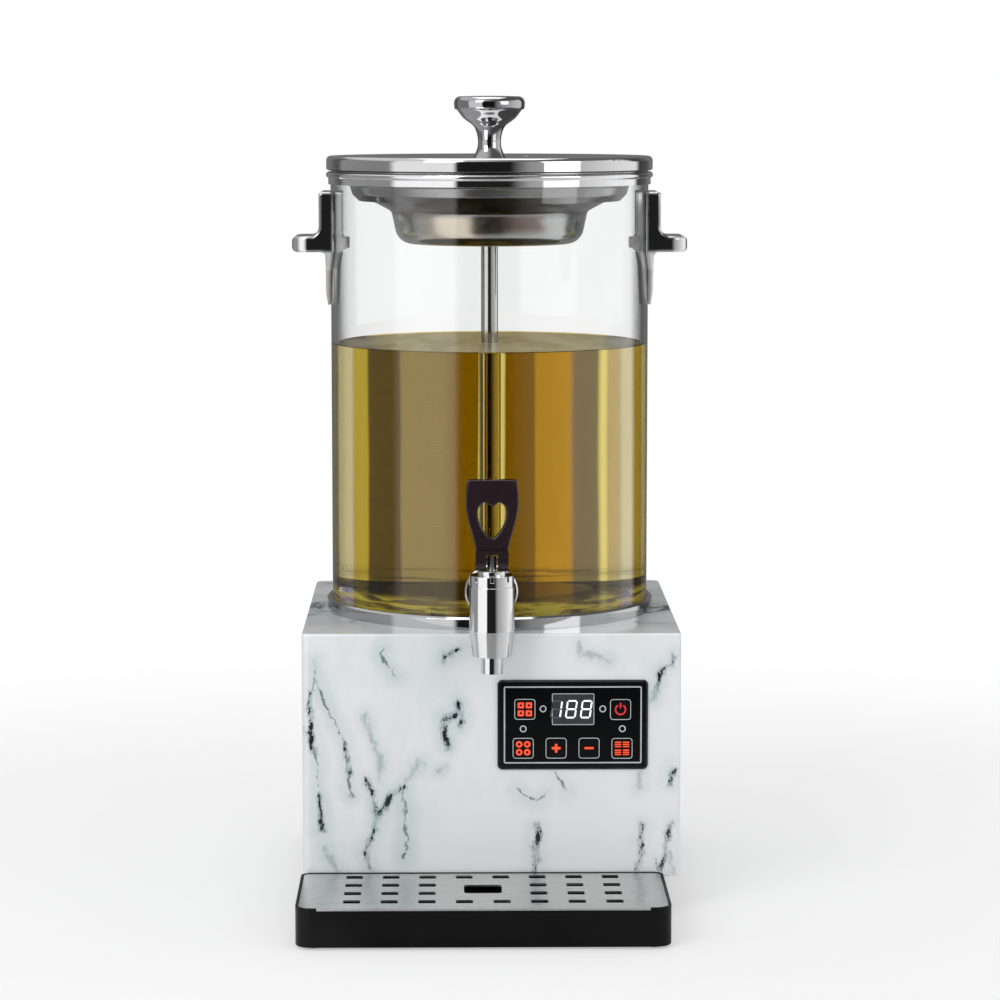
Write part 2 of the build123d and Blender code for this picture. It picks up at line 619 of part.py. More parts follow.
# Control panel. Depths count from the housing's front face, positive outwards.
FASCIA_W = PANEL_W - 2 * BEZEL_W - FIT
FASCIA_H = PANEL_H - 2 * BEZEL_W - FIT
FASCIA_FRONT = PANEL_PROUD - BEZEL_FACE_IN
FASCIA_BACK = FASCIA_FRONT - FASCIA_T
with BuildPart() as panel_bezel:
    with BuildSketch(PANEL_PLANE):
        RectangleRounded(PANEL_W, PANEL_H, PANEL_R)
    extrude(amount=PANEL_PROUD)
    chamfer(panel_bezel.faces().sort_by(Axis.Y)[0].edges(), PANEL_BEVEL)
    with BuildSketch(PANEL_PLANE.offset(FASCIA_BACK)):
        RectangleRounded(PANEL_W - 2 * BEZEL_W, PANEL_H - 2 * BEZEL_W, FASCIA_R)
    extrude(amount=PANEL_PROUD, mode=Mode.SUBTRACT)
    with BuildSketch(PANEL_PLANE):
        Rectangle(SLEEVE_W, SLEEVE_H)
    extrude(amount=-SLEEVE_D)
    with BuildSketch(PANEL_PLANE.offset(FASCIA_BACK)):
        Rectangle(PANEL_W - 2 * (BEZEL_W + BEZEL_LEDGE), PANEL_H - 2 * (BEZEL_W + BEZEL_LEDGE))
    extrude(amount=-SLEEVE_D - FASCIA_BACK, mode=Mode.SUBTRACT)
finish(panel_bezel, "panel_bezel")

with BuildPart() as panel_fascia:
    with BuildSketch(PANEL_PLANE.offset(FASCIA_BACK)):
        RectangleRounded(FASCIA_W, FASCIA_H, FASCIA_R - FIT / 2)
        with Locations((DISPLAY_X, DISPLAY_Y)):
            Rectangle(DISPLAY_W, DISPLAY_H, mode=Mode.SUBTRACT)
        with Locations(*KEYS.values()):
            RectangleRounded(KEY_W + 2 * FIT, KEY_W + 2 * FIT, KEY_R + FIT, mode=Mode.SUBTRACT)
        with Locations(*LEDS):
            Circle(LED_R, mode=Mode.SUBTRACT)
    extrude(amount=FASCIA_T)
finish(panel_fascia, "panel_fascia")

with BuildPart() as display_window:
    with BuildSketch(PANEL_PLANE.offset(FASCIA_BACK)):
        with Locations((DISPLAY_X, DISPLAY_Y)):
            Rectangle(DISPLAY_W - FIT, DISPLAY_H - FIT)
    extrude(amount=FASCIA_T)
finish(display_window, "display_window")

# Keys travel inwards until the stem meets its switch
KEY_FRONT = FASCIA_FRONT + KEY_PROUD
KEY_LIP_FRONT = FASCIA_BACK - KEY_LIP_GAP
KEY_BACK = KEY_LIP_FRONT - KEY_LIP_T
SWITCH_FRONT = KEY_BACK - KEY_STEM_LEN - KEY_TRAVEL - KEY_LIP_GAP / 2
CONTROL_BOARD_FRONT = SWITCH_FRONT - SWITCH_H
for key_name, key_place in KEYS.items():
    with BuildPart() as key:
        with BuildSketch(PANEL_PLANE.offset(KEY_BACK)):
            with Locations(key_place):
                RectangleRounded(KEY_W, KEY_W, KEY_R)
        extrude(amount=KEY_FRONT - KEY_BACK)
        fillet(key.faces().sort_by(Axis.Y)[0].edges(), KEY_PROUD / 2)
        with BuildSketch(PANEL_PLANE.offset(KEY_BACK)):
            with Locations(key_place):
                RectangleRounded(KEY_W + 2 * KEY_LIP_W, KEY_W + 2 * KEY_LIP_W, KEY_R)
        extrude(amount=KEY_LIP_T)
        with BuildSketch(PANEL_PLANE.offset(KEY_BACK)):
            with Locations(key_place):
                Circle(KEY_STEM_R)
        extrude(amount=-KEY_STEM_LEN)
    finish(key, key_name)

with BuildPart() as key_switches:
    with BuildSketch(PANEL_PLANE.offset(CONTROL_BOARD_FRONT)):
        with Locations(*KEYS.values()):
            Rectangle(SWITCH_W, SWITCH_W)
    extrude(amount=SWITCH_H)
finish(key_switches, "key_switches")

with BuildPart() as indicator_lights:
    with BuildSketch(PANEL_PLANE.offset(CONTROL_BOARD_FRONT)):
        with Locations(*LEDS):
            Circle(LED_R - FIT / 2)
    extrude(amount=FASCIA_FRONT - CONTROL_BOARD_FRONT)
finish(indicator_lights, "indicator_lights")

with BuildPart() as display_module:
    with BuildSketch(PANEL_PLANE.offset(CONTROL_BOARD_FRONT)):
        with Locations((DISPLAY_X, DISPLAY_Y)):
            Rectangle(DISPLAY_W - 2 * DISPLAY_MARGIN, DISPLAY_H - 2 * DISPLAY_MARGIN)
    extrude(amount=FASCIA_BACK - FIT - CONTROL_BOARD_FRONT)
finish(display_module, "display_module")

with BuildPart() as control_board:
    with BuildSketch(PANEL_PLANE.offset(CONTROL_BOARD_FRONT)):
        Rectangle(
            PANEL_W - 2 * (BEZEL_W + BEZEL_LEDGE + FIT),
            PANEL_H - 2 * (BEZEL_W + BEZEL_LEDGE + FIT),
        )
    extrude(amount=-BOARD_T)
finish(control_board, "control_board")

# Heating dish: the jar's metal bottom, with a locating skirt and welded studs below
with BuildPart() as heating_dish:
    with BuildSketch(level(DECK_Z)):
        Circle(DISH_R)
    extrude(amount=DISH_T)
    with BuildSketch(level(DECK_Z)):
        Circle(DISH_WELL_R)
        Circle(DISH_WELL_R - DISH_T, mode=Mode.SUBTRACT)
    extrude(amount=-DISH_WELL_H)
    with BuildSketch(level(DECK_Z)):
        with PolarLocations(STUD_RING_R, STUD_COUNT):
            Circle(BOLT_R)
    extrude(amount=-STUD_LEN)
finish(heating_dish, "heating_dish")

CLAMP_TOP = DECK_Z - SHELL_T
with BuildPart() as dish_clamp_ring:
    with BuildSketch(level(CLAMP_TOP)):
        Circle(STUD_RING_R + CLAMP_W / 2)
        Circle(STUD_RING_R - CLAMP_W / 2, mode=Mode.SUBTRACT)
        with PolarLocations(STUD_RING_R, STUD_COUNT):
            Circle(BOLT_R + FIT, mode=Mode.SUBTRACT)
    extrude(amount=-CLAMP_T)
finish(dish_clamp_ring, "dish_clamp_ring")

# Heater: an aluminium plate under the dish, a round element below it and two thermostats
with BuildPart() as heater_plate:
    with BuildSketch(level(HEATER_Z)):
        Circle(HEATER_R)
    extrude(amount=HEATER_T)
finish(heater_plate, "heater_plate")

with BuildPart() as heating_element:
    with BuildSketch(JAR_PLANE):
        with Locations((ELEMENT_RING_R, HEATER_Z - ELEMENT_R)):
            Circle(ELEMENT_R)
    revolve(axis=JAR_AXIS, revolution_arc=ELEMENT_ARC)
    with BuildSketch(level(HEATER_Z - ELEMENT_R)):
        for angle in (TERMINAL_INSET, ELEMENT_ARC - TERMINAL_INSET):
            with PolarLocations(ELEMENT_RING_R, 1, start_angle=angle):
                Circle(TERMINAL_R)
    extrude(amount=-TERMINAL_LEN)
finish(heating_element, "heating_element")

with BuildPart() as thermostats:
    with BuildSketch(level(HEATER_Z)):
        with GridLocations(THERMOSTAT_PITCH, 0, 2, 1):
            Circle(THERMOSTAT_R)
    extrude(amount=-THERMOSTAT_H)
finish(thermostats, "thermostats")

# Jar: seal, chrome foot ring, glass wall, rim gasket and chrome rim ring
with BuildPart() as jar_foot_seal:
    with BuildSketch(level(DECK_Z + DISH_T)):
        Circle(GLASS_R)
        Circle(GLASS_R - FOOT_SEAL_W, mode=Mode.SUBTRACT)
    extrude(amount=FOOT_SEAL_T)
finish(jar_foot_seal, "jar_foot_seal")

JAR_RING_R = GLASS_R + JAR_RING_W
with BuildPart() as jar_base_ring:
    with BuildSketch(JAR_PLANE):
        with BuildLine():
            Polyline(
                (DISH_R + FIT, DECK_Z),
                (JAR_RING_R, DECK_Z),
                (JAR_RING_R, DECK_Z + JAR_RING_H - JAR_RING_EDGE),
                (JAR_RING_R - JAR_RING_EDGE, DECK_Z + JAR_RING_H),
                (GLASS_R + FIT, DECK_Z + JAR_RING_H),
                (GLASS_R + FIT, DECK_Z + DISH_T),
                (DISH_R + FIT, DECK_Z + DISH_T),
                close=True,
            )
        make_face()
    revolve(axis=JAR_AXIS)
finish(jar_base_ring, "jar_base_ring")

SIDE_PLANE = Plane((0, JAR_Y, 0), x_dir=(0, 1, 0), z_dir=(1, 0, 0))
with BuildPart() as glass_jar:
    with BuildSketch(level(GLASS_Z)):
        Circle(GLASS_R)
        Circle(GLASS_IN_R, mode=Mode.SUBTRACT)
    extrude(amount=GLASS_H)
    fillet(glass_jar.faces().sort_by(Axis.Z)[-1].edges(), GLASS_LIP_R)
    with BuildSketch(JAR_PLANE):
        with Locations((0, TAP_SHANK_Z)):
            Circle(TAP_GLASS_HOLE_R)
    extrude(amount=GLASS_R, mode=Mode.SUBTRACT)
    with BuildSketch(SIDE_PLANE):
        with Locations((0, HANDLE_BOLT_Z)):
            with GridLocations(HANDLE_BOLT_PITCH, 0, 2, 1):
                Circle(HANDLE_HOLE_R)
    extrude(amount=HANDLE_REACH, both=True, mode=Mode.SUBTRACT)
finish(glass_jar, "glass_jar")

with BuildPart() as jar_rim_gasket:
    with BuildSketch(level(GLASS_TOP)):
        Circle(GLASS_R)
        Circle(GLASS_IN_R, mode=Mode.SUBTRACT)
    extrude(amount=GASKET_T)
finish(jar_rim_gasket, "jar_rim_gasket")

with BuildPart() as jar_rim_ring:
    with BuildSketch(JAR_PLANE):
        with BuildLine():
            Polyline(
                (RIM_SKIRT_R, RIM_LOW),
                (RIM_SKIRT_R, RIM_LOW - RIM_SKIRT_H),
                (GLASS_R + FIT, RIM_LOW - RIM_SKIRT_H),
                (GLASS_R + FIT, RIM_LOW),
                (RIM_IN_R, RIM_LOW),
                (RIM_IN_R, RIM_TOP),
                (RIM_SKIRT_R, RIM_TOP),
            )
            ThreePointArc(
                (RIM_SKIRT_R, RIM_TOP), (RIM_BEAD_R, RIM_LOW + RIM_T / 2), (RIM_SKIRT_R, RIM_LOW)
            )
        make_face()
    revolve(axis=JAR_AXIS)
finish(jar_rim_ring, "jar_rim_ring")

# Handles: a bracket seen from the front, narrowed in plan and from the side
HANDLE_FRONT = [
    (GLASS_IN_R, HANDLE_LOW),
    (HANDLE_STRAP_R - HANDLE_EDGE_R, HANDLE_LOW),
    (HANDLE_STRAP_R, HANDLE_LOW + HANDLE_TIP_HALF_W),
    (HANDLE_STRAP_R, HANDLE_TAB_BOTTOM),
    (HANDLE_REACH, HANDLE_TAB_BOTTOM),
    (HANDLE_REACH, HANDLE_TAB_TOP),
    (HANDLE_BLOCK_R, HANDLE_TAB_TOP),
    (HANDLE_BLOCK_R, HANDLE_TOP),
    (GLASS_IN_R, HANDLE_TOP),
]
HANDLE_CORNER_R = min(HANDLE_ROOT_R, HANDLE_TAB_LEN - 2 * HANDLE_END_R)
HANDLE_FRONT_RADII = [
    0, 0, 0, HANDLE_HEEL_R, HANDLE_END_R, HANDLE_END_R, HANDLE_CORNER_R, HANDLE_SHOULDER_R, 0,
]
with BuildPart() as handle_right:
    with BuildSketch(JAR_PLANE):
        with BuildLine():
            FilletPolyline(*HANDLE_FRONT, radius=HANDLE_FRONT_RADII, close=True)
        make_face()
    extrude(amount=HANDLE_HALF_W, both=True)
    with BuildSketch(level(HANDLE_LOW)):
        with Locations((HANDLE_REACH / 2, 0)):
            RectangleRounded(HANDLE_REACH, 2 * HANDLE_HALF_W, HANDLE_TAB_R)
    extrude(amount=HANDLE_TOP - HANDLE_LOW, mode=Mode.INTERSECT)
    with BuildSketch(SIDE_PLANE):
        with BuildLine():
            Polyline(
                (-HANDLE_TIP_HALF_W, HANDLE_LOW),
                (HANDLE_TIP_HALF_W, HANDLE_LOW),
                (HANDLE_STRAP_HALF_W, HANDLE_TAB_BOTTOM - HANDLE_TAB_R),
                (HANDLE_HALF_W, HANDLE_TAB_BOTTOM),
                (HANDLE_HALF_W, HANDLE_TOP),
                (-HANDLE_HALF_W, HANDLE_TOP),
                (-HANDLE_HALF_W, HANDLE_TAB_BOTTOM),
                (-HANDLE_STRAP_HALF_W, HANDLE_TAB_BOTTOM - HANDLE_TAB_R),
                close=True,
            )
        make_face()
    extrude(amount=HANDLE_REACH, mode=Mode.INTERSECT)
    with BuildSketch(level(HANDLE_LOW)):
        Circle(GLASS_R + FIT)
    extrude(amount=HANDLE_TOP - HANDLE_LOW, mode=Mode.SUBTRACT)
    with BuildSketch(SIDE_PLANE):
        with Locations((0, HANDLE_BOLT_Z)):
            with GridLocations(HANDLE_BOLT_PITCH, 0, 2, 1):
                Circle(BOLT_R)
    extrude(amount=HANDLE_BOLT_END, mode=Mode.SUBTRACT)
finish(handle_right, "handle_right")

with BuildPart() as handle_left:
    mirror(handle_right.part, about=Plane.YZ)
finish(handle_left, "handle_left")

# Handle bolts with a rubber washer and a nut inside the glass
HANDLE_SEAT_X = (
    math.sqrt(GLASS_IN_R**2 - (HANDLE_BOLT_PITCH / 2 + HANDLE_WASHER_R) ** 2) - HANDLE_WASHER_T
)
with BuildPart() as handle_bolts:
    with BuildSketch(SIDE_PLANE.offset(HANDLE_SEAT_X - HEX_NUT_T)):
        with Locations((0, HANDLE_BOLT_Z)):
            with GridLocations(HANDLE_BOLT_PITCH, 0, 2, 1):
                Circle(BOLT_R)
    extrude(amount=HANDLE_BOLT_END - HANDLE_SEAT_X + HEX_NUT_T)
    mirror(about=Plane.YZ)
finish(handle_bolts, "handle_bolts")

with BuildPart() as handle_washers:
    with BuildSketch(SIDE_PLANE.offset(HANDLE_SEAT_X)):
        with Locations((0, HANDLE_BOLT_Z)):
            with GridLocations(HANDLE_BOLT_PITCH, 0, 2, 1):
                Circle(HANDLE_WASHER_R)
                Circle(BOLT_R + SCREW_FIT, mode=Mode.SUBTRACT)
    extrude(amount=GLASS_R - HANDLE_SEAT_X)
    with BuildSketch(level(HANDLE_LOW)):
        Circle(GLASS_IN_R)
    extrude(amount=HANDLE_TOP - HANDLE_LOW, mode=Mode.INTERSECT)
    mirror(about=Plane.YZ)
finish(handle_washers, "handle_washers")

# Hex nuts: two on each handle's bolts inside the jar, and one on each stud of the dish
with BuildPart() as hex_nuts:
    with BuildSketch(SIDE_PLANE.offset(HANDLE_SEAT_X)):
        with Locations((0, HANDLE_BOLT_Z)):
            with GridLocations(HANDLE_BOLT_PITCH, 0, 2, 1):
                RegularPolygon(HEX_NUT_FLATS / 2, 6, major_radius=False)
                Circle(BOLT_R + SCREW_FIT, mode=Mode.SUBTRACT)
    extrude(amount=-HEX_NUT_T)
    mirror(about=Plane.YZ)
    with BuildSketch(level(CLAMP_TOP - CLAMP_T)):
        with PolarLocations(STUD_RING_R, STUD_COUNT):
            RegularPolygon(HEX_NUT_FLATS / 2, 6, major_radius=False)
            Circle(BOLT_R + SCREW_FIT, mode=Mode.SUBTRACT)
    extrude(amount=-HEX_NUT_T)
finish(hex_nuts, "hex_nuts")

# Tap: upright body with a neck and a threaded shank through the glass
COLLAR_BACK_Y = JAR_Y - GLASS_R - COLLAR_GAP
COLLAR_FRONT_Y = COLLAR_BACK_Y - COLLAR_T
SHANK_END_Y = JAR_Y - GLASS_IN_R + TAP_SHANK_IN
TAP_SEAT_Y = JAR_Y - math.sqrt(GLASS_IN_R**2 - TAP_INNER_WASHER_R**2) + TAP_INNER_WASHER_T


def shank_plane(y):
    """A plane across the tap's shank at depth y, looking out of the front."""
    return Plane((0, y, TAP_SHANK_Z), x_dir=(1, 0, 0), z_dir=(0, -1, 0))


with BuildPart() as tap_body:
    with BuildSketch(TAP_PLANE):
        with BuildLine():
            Polyline(
                (0, TAP_OUTLET_Z),
                (TAP_OUTLET_R, TAP_OUTLET_Z),
                (TAP_OUTLET_R, TAP_FOOT_Z),
                (TAP_FOOT_R, TAP_FOOT_Z),
                (TAP_BODY_R, TAP_TAPER_Z),
                (TAP_BODY_R, TAP_BODY_TOP),
                (0, TAP_BODY_TOP),
                close=True,
            )
        make_face()
    revolve(axis=TAP_AXIS)
    with BuildSketch(shank_plane(COLLAR_FRONT_Y)):
        Circle(TAP_NECK_R)
    extrude(amount=COLLAR_FRONT_Y - TAP_Y)
    with BuildSketch(shank_plane(SHANK_END_Y)):
        Circle(TAP_SHANK_R)
    extrude(amount=SHANK_END_Y - TAP_Y)
    with BuildSketch(shank_plane(SHANK_END_Y)):
        Circle(TAP_SHANK_BORE_R)
    extrude(amount=SHANK_END_Y - TAP_Y, mode=Mode.SUBTRACT)
    with BuildSketch(level(TAP_SEAT_Z, TAP_Y)):
        Circle(TAP_CHAMBER_R)
    extrude(amount=TAP_BODY_TOP - TAP_SEAT_Z, mode=Mode.SUBTRACT)
    with BuildSketch(level(TAP_OUTLET_Z, TAP_Y)):
        Circle(TAP_OUTLET_BORE_R)
    extrude(amount=TAP_SEAT_Z - TAP_OUTLET_Z, mode=Mode.SUBTRACT)
finish(tap_body, "tap_body")

with BuildPart() as tap_collar:
    with BuildSketch(shank_plane(COLLAR_BACK_Y)):
        Circle(COLLAR_R)
    extrude(amount=COLLAR_T)
    chamfer(tap_collar.faces().sort_by(Axis.Y)[0].edges(), COLLAR_EDGE)
    with BuildSketch(shank_plane(COLLAR_BACK_Y)):
        Circle(TAP_SHANK_R + SCREW_FIT)
    extrude(amount=COLLAR_T, mode=Mode.SUBTRACT)
finish(tap_collar, "tap_collar")

# Tap washers: one saddle outside the glass and one inside
with BuildPart() as inner_saddle:
    with BuildSketch(shank_plane(TAP_SEAT_Y)):
        Circle(TAP_INNER_WASHER_R)
        Circle(TAP_SHANK_R + SCREW_FIT, mode=Mode.SUBTRACT)
    extrude(amount=GLASS_R - (JAR_Y - TAP_SEAT_Y))
    with BuildSketch(level(DECK_Z)):
        Circle(GLASS_IN_R)
    extrude(amount=GLASS_H, mode=Mode.INTERSECT)
with BuildPart() as tap_washers:
    with BuildSketch(shank_plane(COLLAR_BACK_Y)):
        Circle(TAP_WASHER_R)
        Circle(TAP_SHANK_R + SCREW_FIT, mode=Mode.SUBTRACT)
    extrude(amount=-COLLAR_GAP - GLASS_T)
    with BuildSketch(level(DECK_Z)):
        Circle(GLASS_R)
    extrude(amount=GLASS_H, mode=Mode.SUBTRACT)
    add(inner_saddle.part)
finish(tap_washers, "tap_washers")

with BuildPart() as tap_nut:
    with BuildSketch(shank_plane(TAP_SEAT_Y)):
        RegularPolygon(TAP_NUT_FLATS / 2, 6, major_radius=False)
        Circle(TAP_SHANK_R + SCREW_FIT, mode=Mode.SUBTRACT)
    extrude(amount=-TAP_NUT_T)
finish(tap_nut, "tap_nut")

# Bonnet: the notched cap nut that closes the tap's body and guides the stem
with BuildPart() as tap_bonnet:
    with BuildSketch(TAP_PLANE):
        with BuildLine():
            Polyline(
                (STEM_R + RUN, TAP_BODY_TOP - BONNET_SPIGOT_H),
                (TAP_CHAMBER_R - SCREW_FIT, TAP_BODY_TOP - BONNET_SPIGOT_H),
                (TAP_CHAMBER_R - SCREW_FIT, TAP_BODY_TOP),
                (BONNET_R, TAP_BODY_TOP),
                (BONNET_R, TAP_BODY_TOP + BONNET_H),
                (BONNET_NECK_R, TAP_BODY_TOP + BONNET_H),
                (BONNET_NECK_R, BONNET_TOP),
                (STEM_R + RUN, BONNET_TOP),
                close=True,
            )
        make_face()
    revolve(axis=TAP_AXIS)
    with BuildSketch(level(TAP_BODY_TOP + BONNET_H, TAP_Y)):
        with PolarLocations(BONNET_R, BONNET_NOTCHES):
            Rectangle(2 * BONNET_NOTCH_D, BONNET_NOTCH_W)
    extrude(amount=-BONNET_H / 2, mode=Mode.SUBTRACT)
finish(tap_bonnet, "tap_bonnet")

# Stem with a rubber seat cup at its foot; the lever's pin goes through its head
SEAT_CUP_Z = TAP_SEAT_Z + SEAT_CUP_GAP
STEM_Z = SEAT_CUP_Z + SEAT_CUP_FLOOR_T
TAP_SIDE_PLANE = Plane((0, TAP_Y, PIN_Z), x_dir=(0, 1, 0), z_dir=(1, 0, 0))
with BuildPart() as tap_stem:
    with BuildSketch(level(STEM_Z, TAP_Y)):
        Circle(STEM_R)
    extrude(amount=PIN_Z + STEM_HEAD_H - STEM_Z)
    with BuildSketch(TAP_SIDE_PLANE):
        Circle(PIN_R + RUN)
    extrude(amount=STEM_R, both=True, mode=Mode.SUBTRACT)
finish(tap_stem, "tap_stem")

with BuildPart() as tap_seat_cup:
    with BuildSketch(level(SEAT_CUP_Z, TAP_Y)):
        Circle(SEAT_CUP_R)
    extrude(amount=SEAT_CUP_T)
    with BuildSketch(level(STEM_Z, TAP_Y)):
        Circle(STEM_R)
    extrude(amount=SEAT_CUP_T, mode=Mode.SUBTRACT)
finish(tap_seat_cup, "tap_seat_cup")

# Lever: a flat head with a hole in it, over a fork whose round heels ride on the bonnet
LEVER_Y = TAP_Y - CAM_AHEAD
LEVER_PLANE = Plane((0, LEVER_Y, 0), x_dir=(1, 0, 0), z_dir=(0, -1, 0))
FORK_SLOT_TOP = math.hypot(STEM_HEAD_H, STEM_R) + RUN + FIT
with BuildPart() as tap_lever:
    with BuildSketch(LEVER_PLANE):
        with BuildLine():
            Line((0, LEVER_LOW_Z), (LEVER_WAIST_HALF_W, LEVER_LOW_Z))
            Spline(
                (LEVER_WAIST_HALF_W, LEVER_LOW_Z),
                (LEVER_BELLY_HALF_W, LEVER_BELLY_Z),
                (LEVER_TOP_HALF_W, LEVER_TOP_Z),
                tangents=[LEVER_WAIST_LEAN, LEVER_TOP_LEAN],
            )
            Line((LEVER_TOP_HALF_W, LEVER_TOP_Z), (0, LEVER_TOP_Z))
            mirror(about=Plane.YZ)
        make_face()
    extrude(amount=LEVER_T / 2, both=True)
    top_corners = tap_lever.edges().filter_by(Axis.Y).group_by(Axis.Z)[-1]
    fillet(top_corners, LEVER_CORNER_R)
    with BuildSketch(LEVER_PLANE) as lever_hole:
        with BuildLine():
            TangentArc(
                (LEVER_HOLE_HALF_W, LEVER_HOLE_WIDE_Z), (0, LEVER_HOLE_LOW_Z), tangent=(0, -1)
            )
            TangentArc(
                (LEVER_HOLE_HALF_W, LEVER_HOLE_WIDE_Z),
                (LEVER_HOLE_HALF_W / 2, LEVER_HOLE_TOP_Z),
                tangent=(0, 1),
            )
            Line((LEVER_HOLE_HALF_W / 2, LEVER_HOLE_TOP_Z), (0, LEVER_HOLE_TOP_Z - LEVER_HOLE_NOTCH))
            mirror(about=Plane.YZ)
        make_face()
        fillet(lever_hole.vertices().group_by(Axis.Y)[0], LEVER_HOLE_TIP_R)
    extrude(amount=LEVER_T, both=True, mode=Mode.SUBTRACT)
    lever_rims = tap_lever.faces().filter_by(Axis.Y).edges()
    fillet(lever_rims.filter_by(lambda edge: edge.center().Z > LEVER_LOW_Z + LEVER_T), LEVER_EDGE_R)
    with BuildSketch(TAP_SIDE_PLANE):
        with Locations((-CAM_AHEAD, 0)):
            Circle(CAM_R)
            with Locations((0, (LEVER_LOW_Z - PIN_Z) / 2)):
                Rectangle(2 * CAM_R, LEVER_LOW_Z - PIN_Z)
    extrude(amount=FORK_HALF_W, both=True)
    with BuildSketch(TAP_SIDE_PLANE):
        with Locations((-CAM_AHEAD, FORK_SLOT_TOP - CAM_R * 2)):
            Rectangle(CAM_R * 3, CAM_R * 4)
    extrude(amount=FORK_SLOT_HALF_W, both=True, mode=Mode.SUBTRACT)
    with BuildSketch(TAP_SIDE_PLANE):
        Circle(PIN_R)
    extrude(amount=FORK_HALF_W, both=True, mode=Mode.SUBTRACT)
finish(tap_lever, "tap_lever")

with BuildPart() as tap_lever_pin:
    with BuildSketch(TAP_SIDE_PLANE):
        Circle(PIN_R)
    extrude(amount=PIN_LEN / 2, both=True)
finish(tap_lever_pin, "tap_lever_pin")

# Brew pan: two pressings of one sheet thickness, welded edge to edge on the ledge. The hanger hangs
# by its flange on the jar's rim ring; the bowl is open below above a narrow lip.
PAN_FLANGE_R = PAN_WALL_R + PAN_FLANGE_W
PAN_LEDGE_Z = RIM_TOP - PAN_LEDGE_DROP
PAN_SEAM_R = PAN_LEDGE_OUT_R - PAN_T - PAN_SEAM_W
PAN_BASE_CORNER_R = PAN_WALL_R - PAN_BASE_W
PAN_LIP_R = PAN_BASE_CORNER_R - PAN_LIP_W
HANGER_CORNERS = [
    (PAN_WALL_R, RIM_TOP),
    (PAN_WALL_R, RIM_TOP - PAN_BRIM_DROP),
    (PAN_WALL_R - PAN_NECK_W, RIM_TOP - PAN_NECK_DROP),
    (PAN_STEP_1_R, RIM_TOP - PAN_STEP_1_DROP),
    (PAN_LEDGE_OUT_R, PAN_LEDGE_Z),
]
BOWL_CORNERS = [
    (PAN_WALL_R - PAN_STEP_2_W, PAN_LEDGE_Z),
    (PAN_WALL_R - PAN_THROAT_W, RIM_TOP - PAN_THROAT_DROP),
    (PAN_BASE_CORNER_R, PAN_FLOOR_Z),
]


def pan_outline(first, corners, radii, last):
    """Closed section of pan sheet, in from its first end under the corners and back above them."""
    above = [(r - PAN_T, z + PAN_T) for r, z in reversed(corners)]
    FilletPolyline(
        first,
        *corners,
        last,
        (last[0], last[1] + PAN_T),
        *above,
        (first[0], first[1] + PAN_T),
        radius=[0, *radii, 0, 0, *reversed(radii), 0],
        close=True,
    )


with BuildPart() as pan_hanger:
    with BuildSketch(JAR_PLANE):
        with BuildLine():
            pan_outline(
                (PAN_FLANGE_R, RIM_TOP),
                HANGER_CORNERS,
                [0, PAN_BEND_R, PAN_BEND_R, PAN_BEND_R, 0],
                (PAN_SEAM_R, PAN_LEDGE_Z),
            )
        make_face()
    revolve(axis=JAR_AXIS)
finish(pan_hanger, "pan_hanger")

with BuildPart() as brew_pan:
    with BuildSketch(JAR_PLANE):
        with BuildLine():
            pan_outline(
                (PAN_SEAM_R, PAN_LEDGE_Z),
                BOWL_CORNERS,
                [PAN_BEND_R, PAN_THROAT_R, PAN_BASE_R],
                (PAN_LIP_R, PAN_FLOOR_Z),
            )
        make_face()
    revolve(axis=JAR_AXIS)
finish(brew_pan, "brew_pan")

# Sieve: a perforated disc on the pan's lip, fixed to it and to the riser tube
with BuildPart() as pan_sieve:
    with BuildSketch(level(PAN_FLOOR_Z + PAN_T)):
        Circle(PAN_LIP_R + SIEVE_LAP)
        Circle(TUBE_R + SCREW_FIT, mode=Mode.SUBTRACT)
        for ring in range(2, PAN_HOLE_RINGS + 2):
            with PolarLocations(ring * PAN_HOLE_PITCH, ring * HOLES_PER_RING_STEP):
                Circle(PAN_HOLE_R, mode=Mode.SUBTRACT)
    extrude(amount=PAN_T)
finish(pan_sieve, "pan_sieve")

# Pump bell: a low hood over the heated dish, with notches in its rim to draw the tea in
with BuildPart() as pump_bell:
    with BuildSketch(JAR_PLANE):
        with BuildLine():
            Polyline(
                (TUBE_R + SCREW_FIT, BELL_TOP - BELL_T),
                (BELL_TOP_R - BELL_T, BELL_TOP - BELL_T),
                (BELL_R - BELL_T, BELL_Z),
                (BELL_R, BELL_Z),
                (BELL_TOP_R, BELL_TOP),
                (BELL_BOSS_R, BELL_TOP),
                (BELL_BOSS_R, BELL_TOP + BELL_BOSS_H),
                (TUBE_R + SCREW_FIT, BELL_TOP + BELL_BOSS_H),
                close=True,
            )
        make_face()
    revolve(axis=JAR_AXIS)
    with BuildSketch(level(BELL_Z)):
        with PolarLocations(BELL_R, BELL_NOTCHES, start_angle=BELL_NOTCH_ANGLE):
            Rectangle(BELL_NOTCH_W * 2, BELL_NOTCH_W)
    extrude(amount=BELL_NOTCH_H, mode=Mode.SUBTRACT)
finish(pump_bell, "pump_bell")

with BuildPart() as riser_tube:
    with BuildSketch(level(BELL_TOP - BELL_T)):
        Circle(TUBE_R)
        Circle(TUBE_R - TUBE_T, mode=Mode.SUBTRACT)
    extrude(amount=TUBE_TOP - BELL_TOP + BELL_T)
finish(riser_tube, "riser_tube")

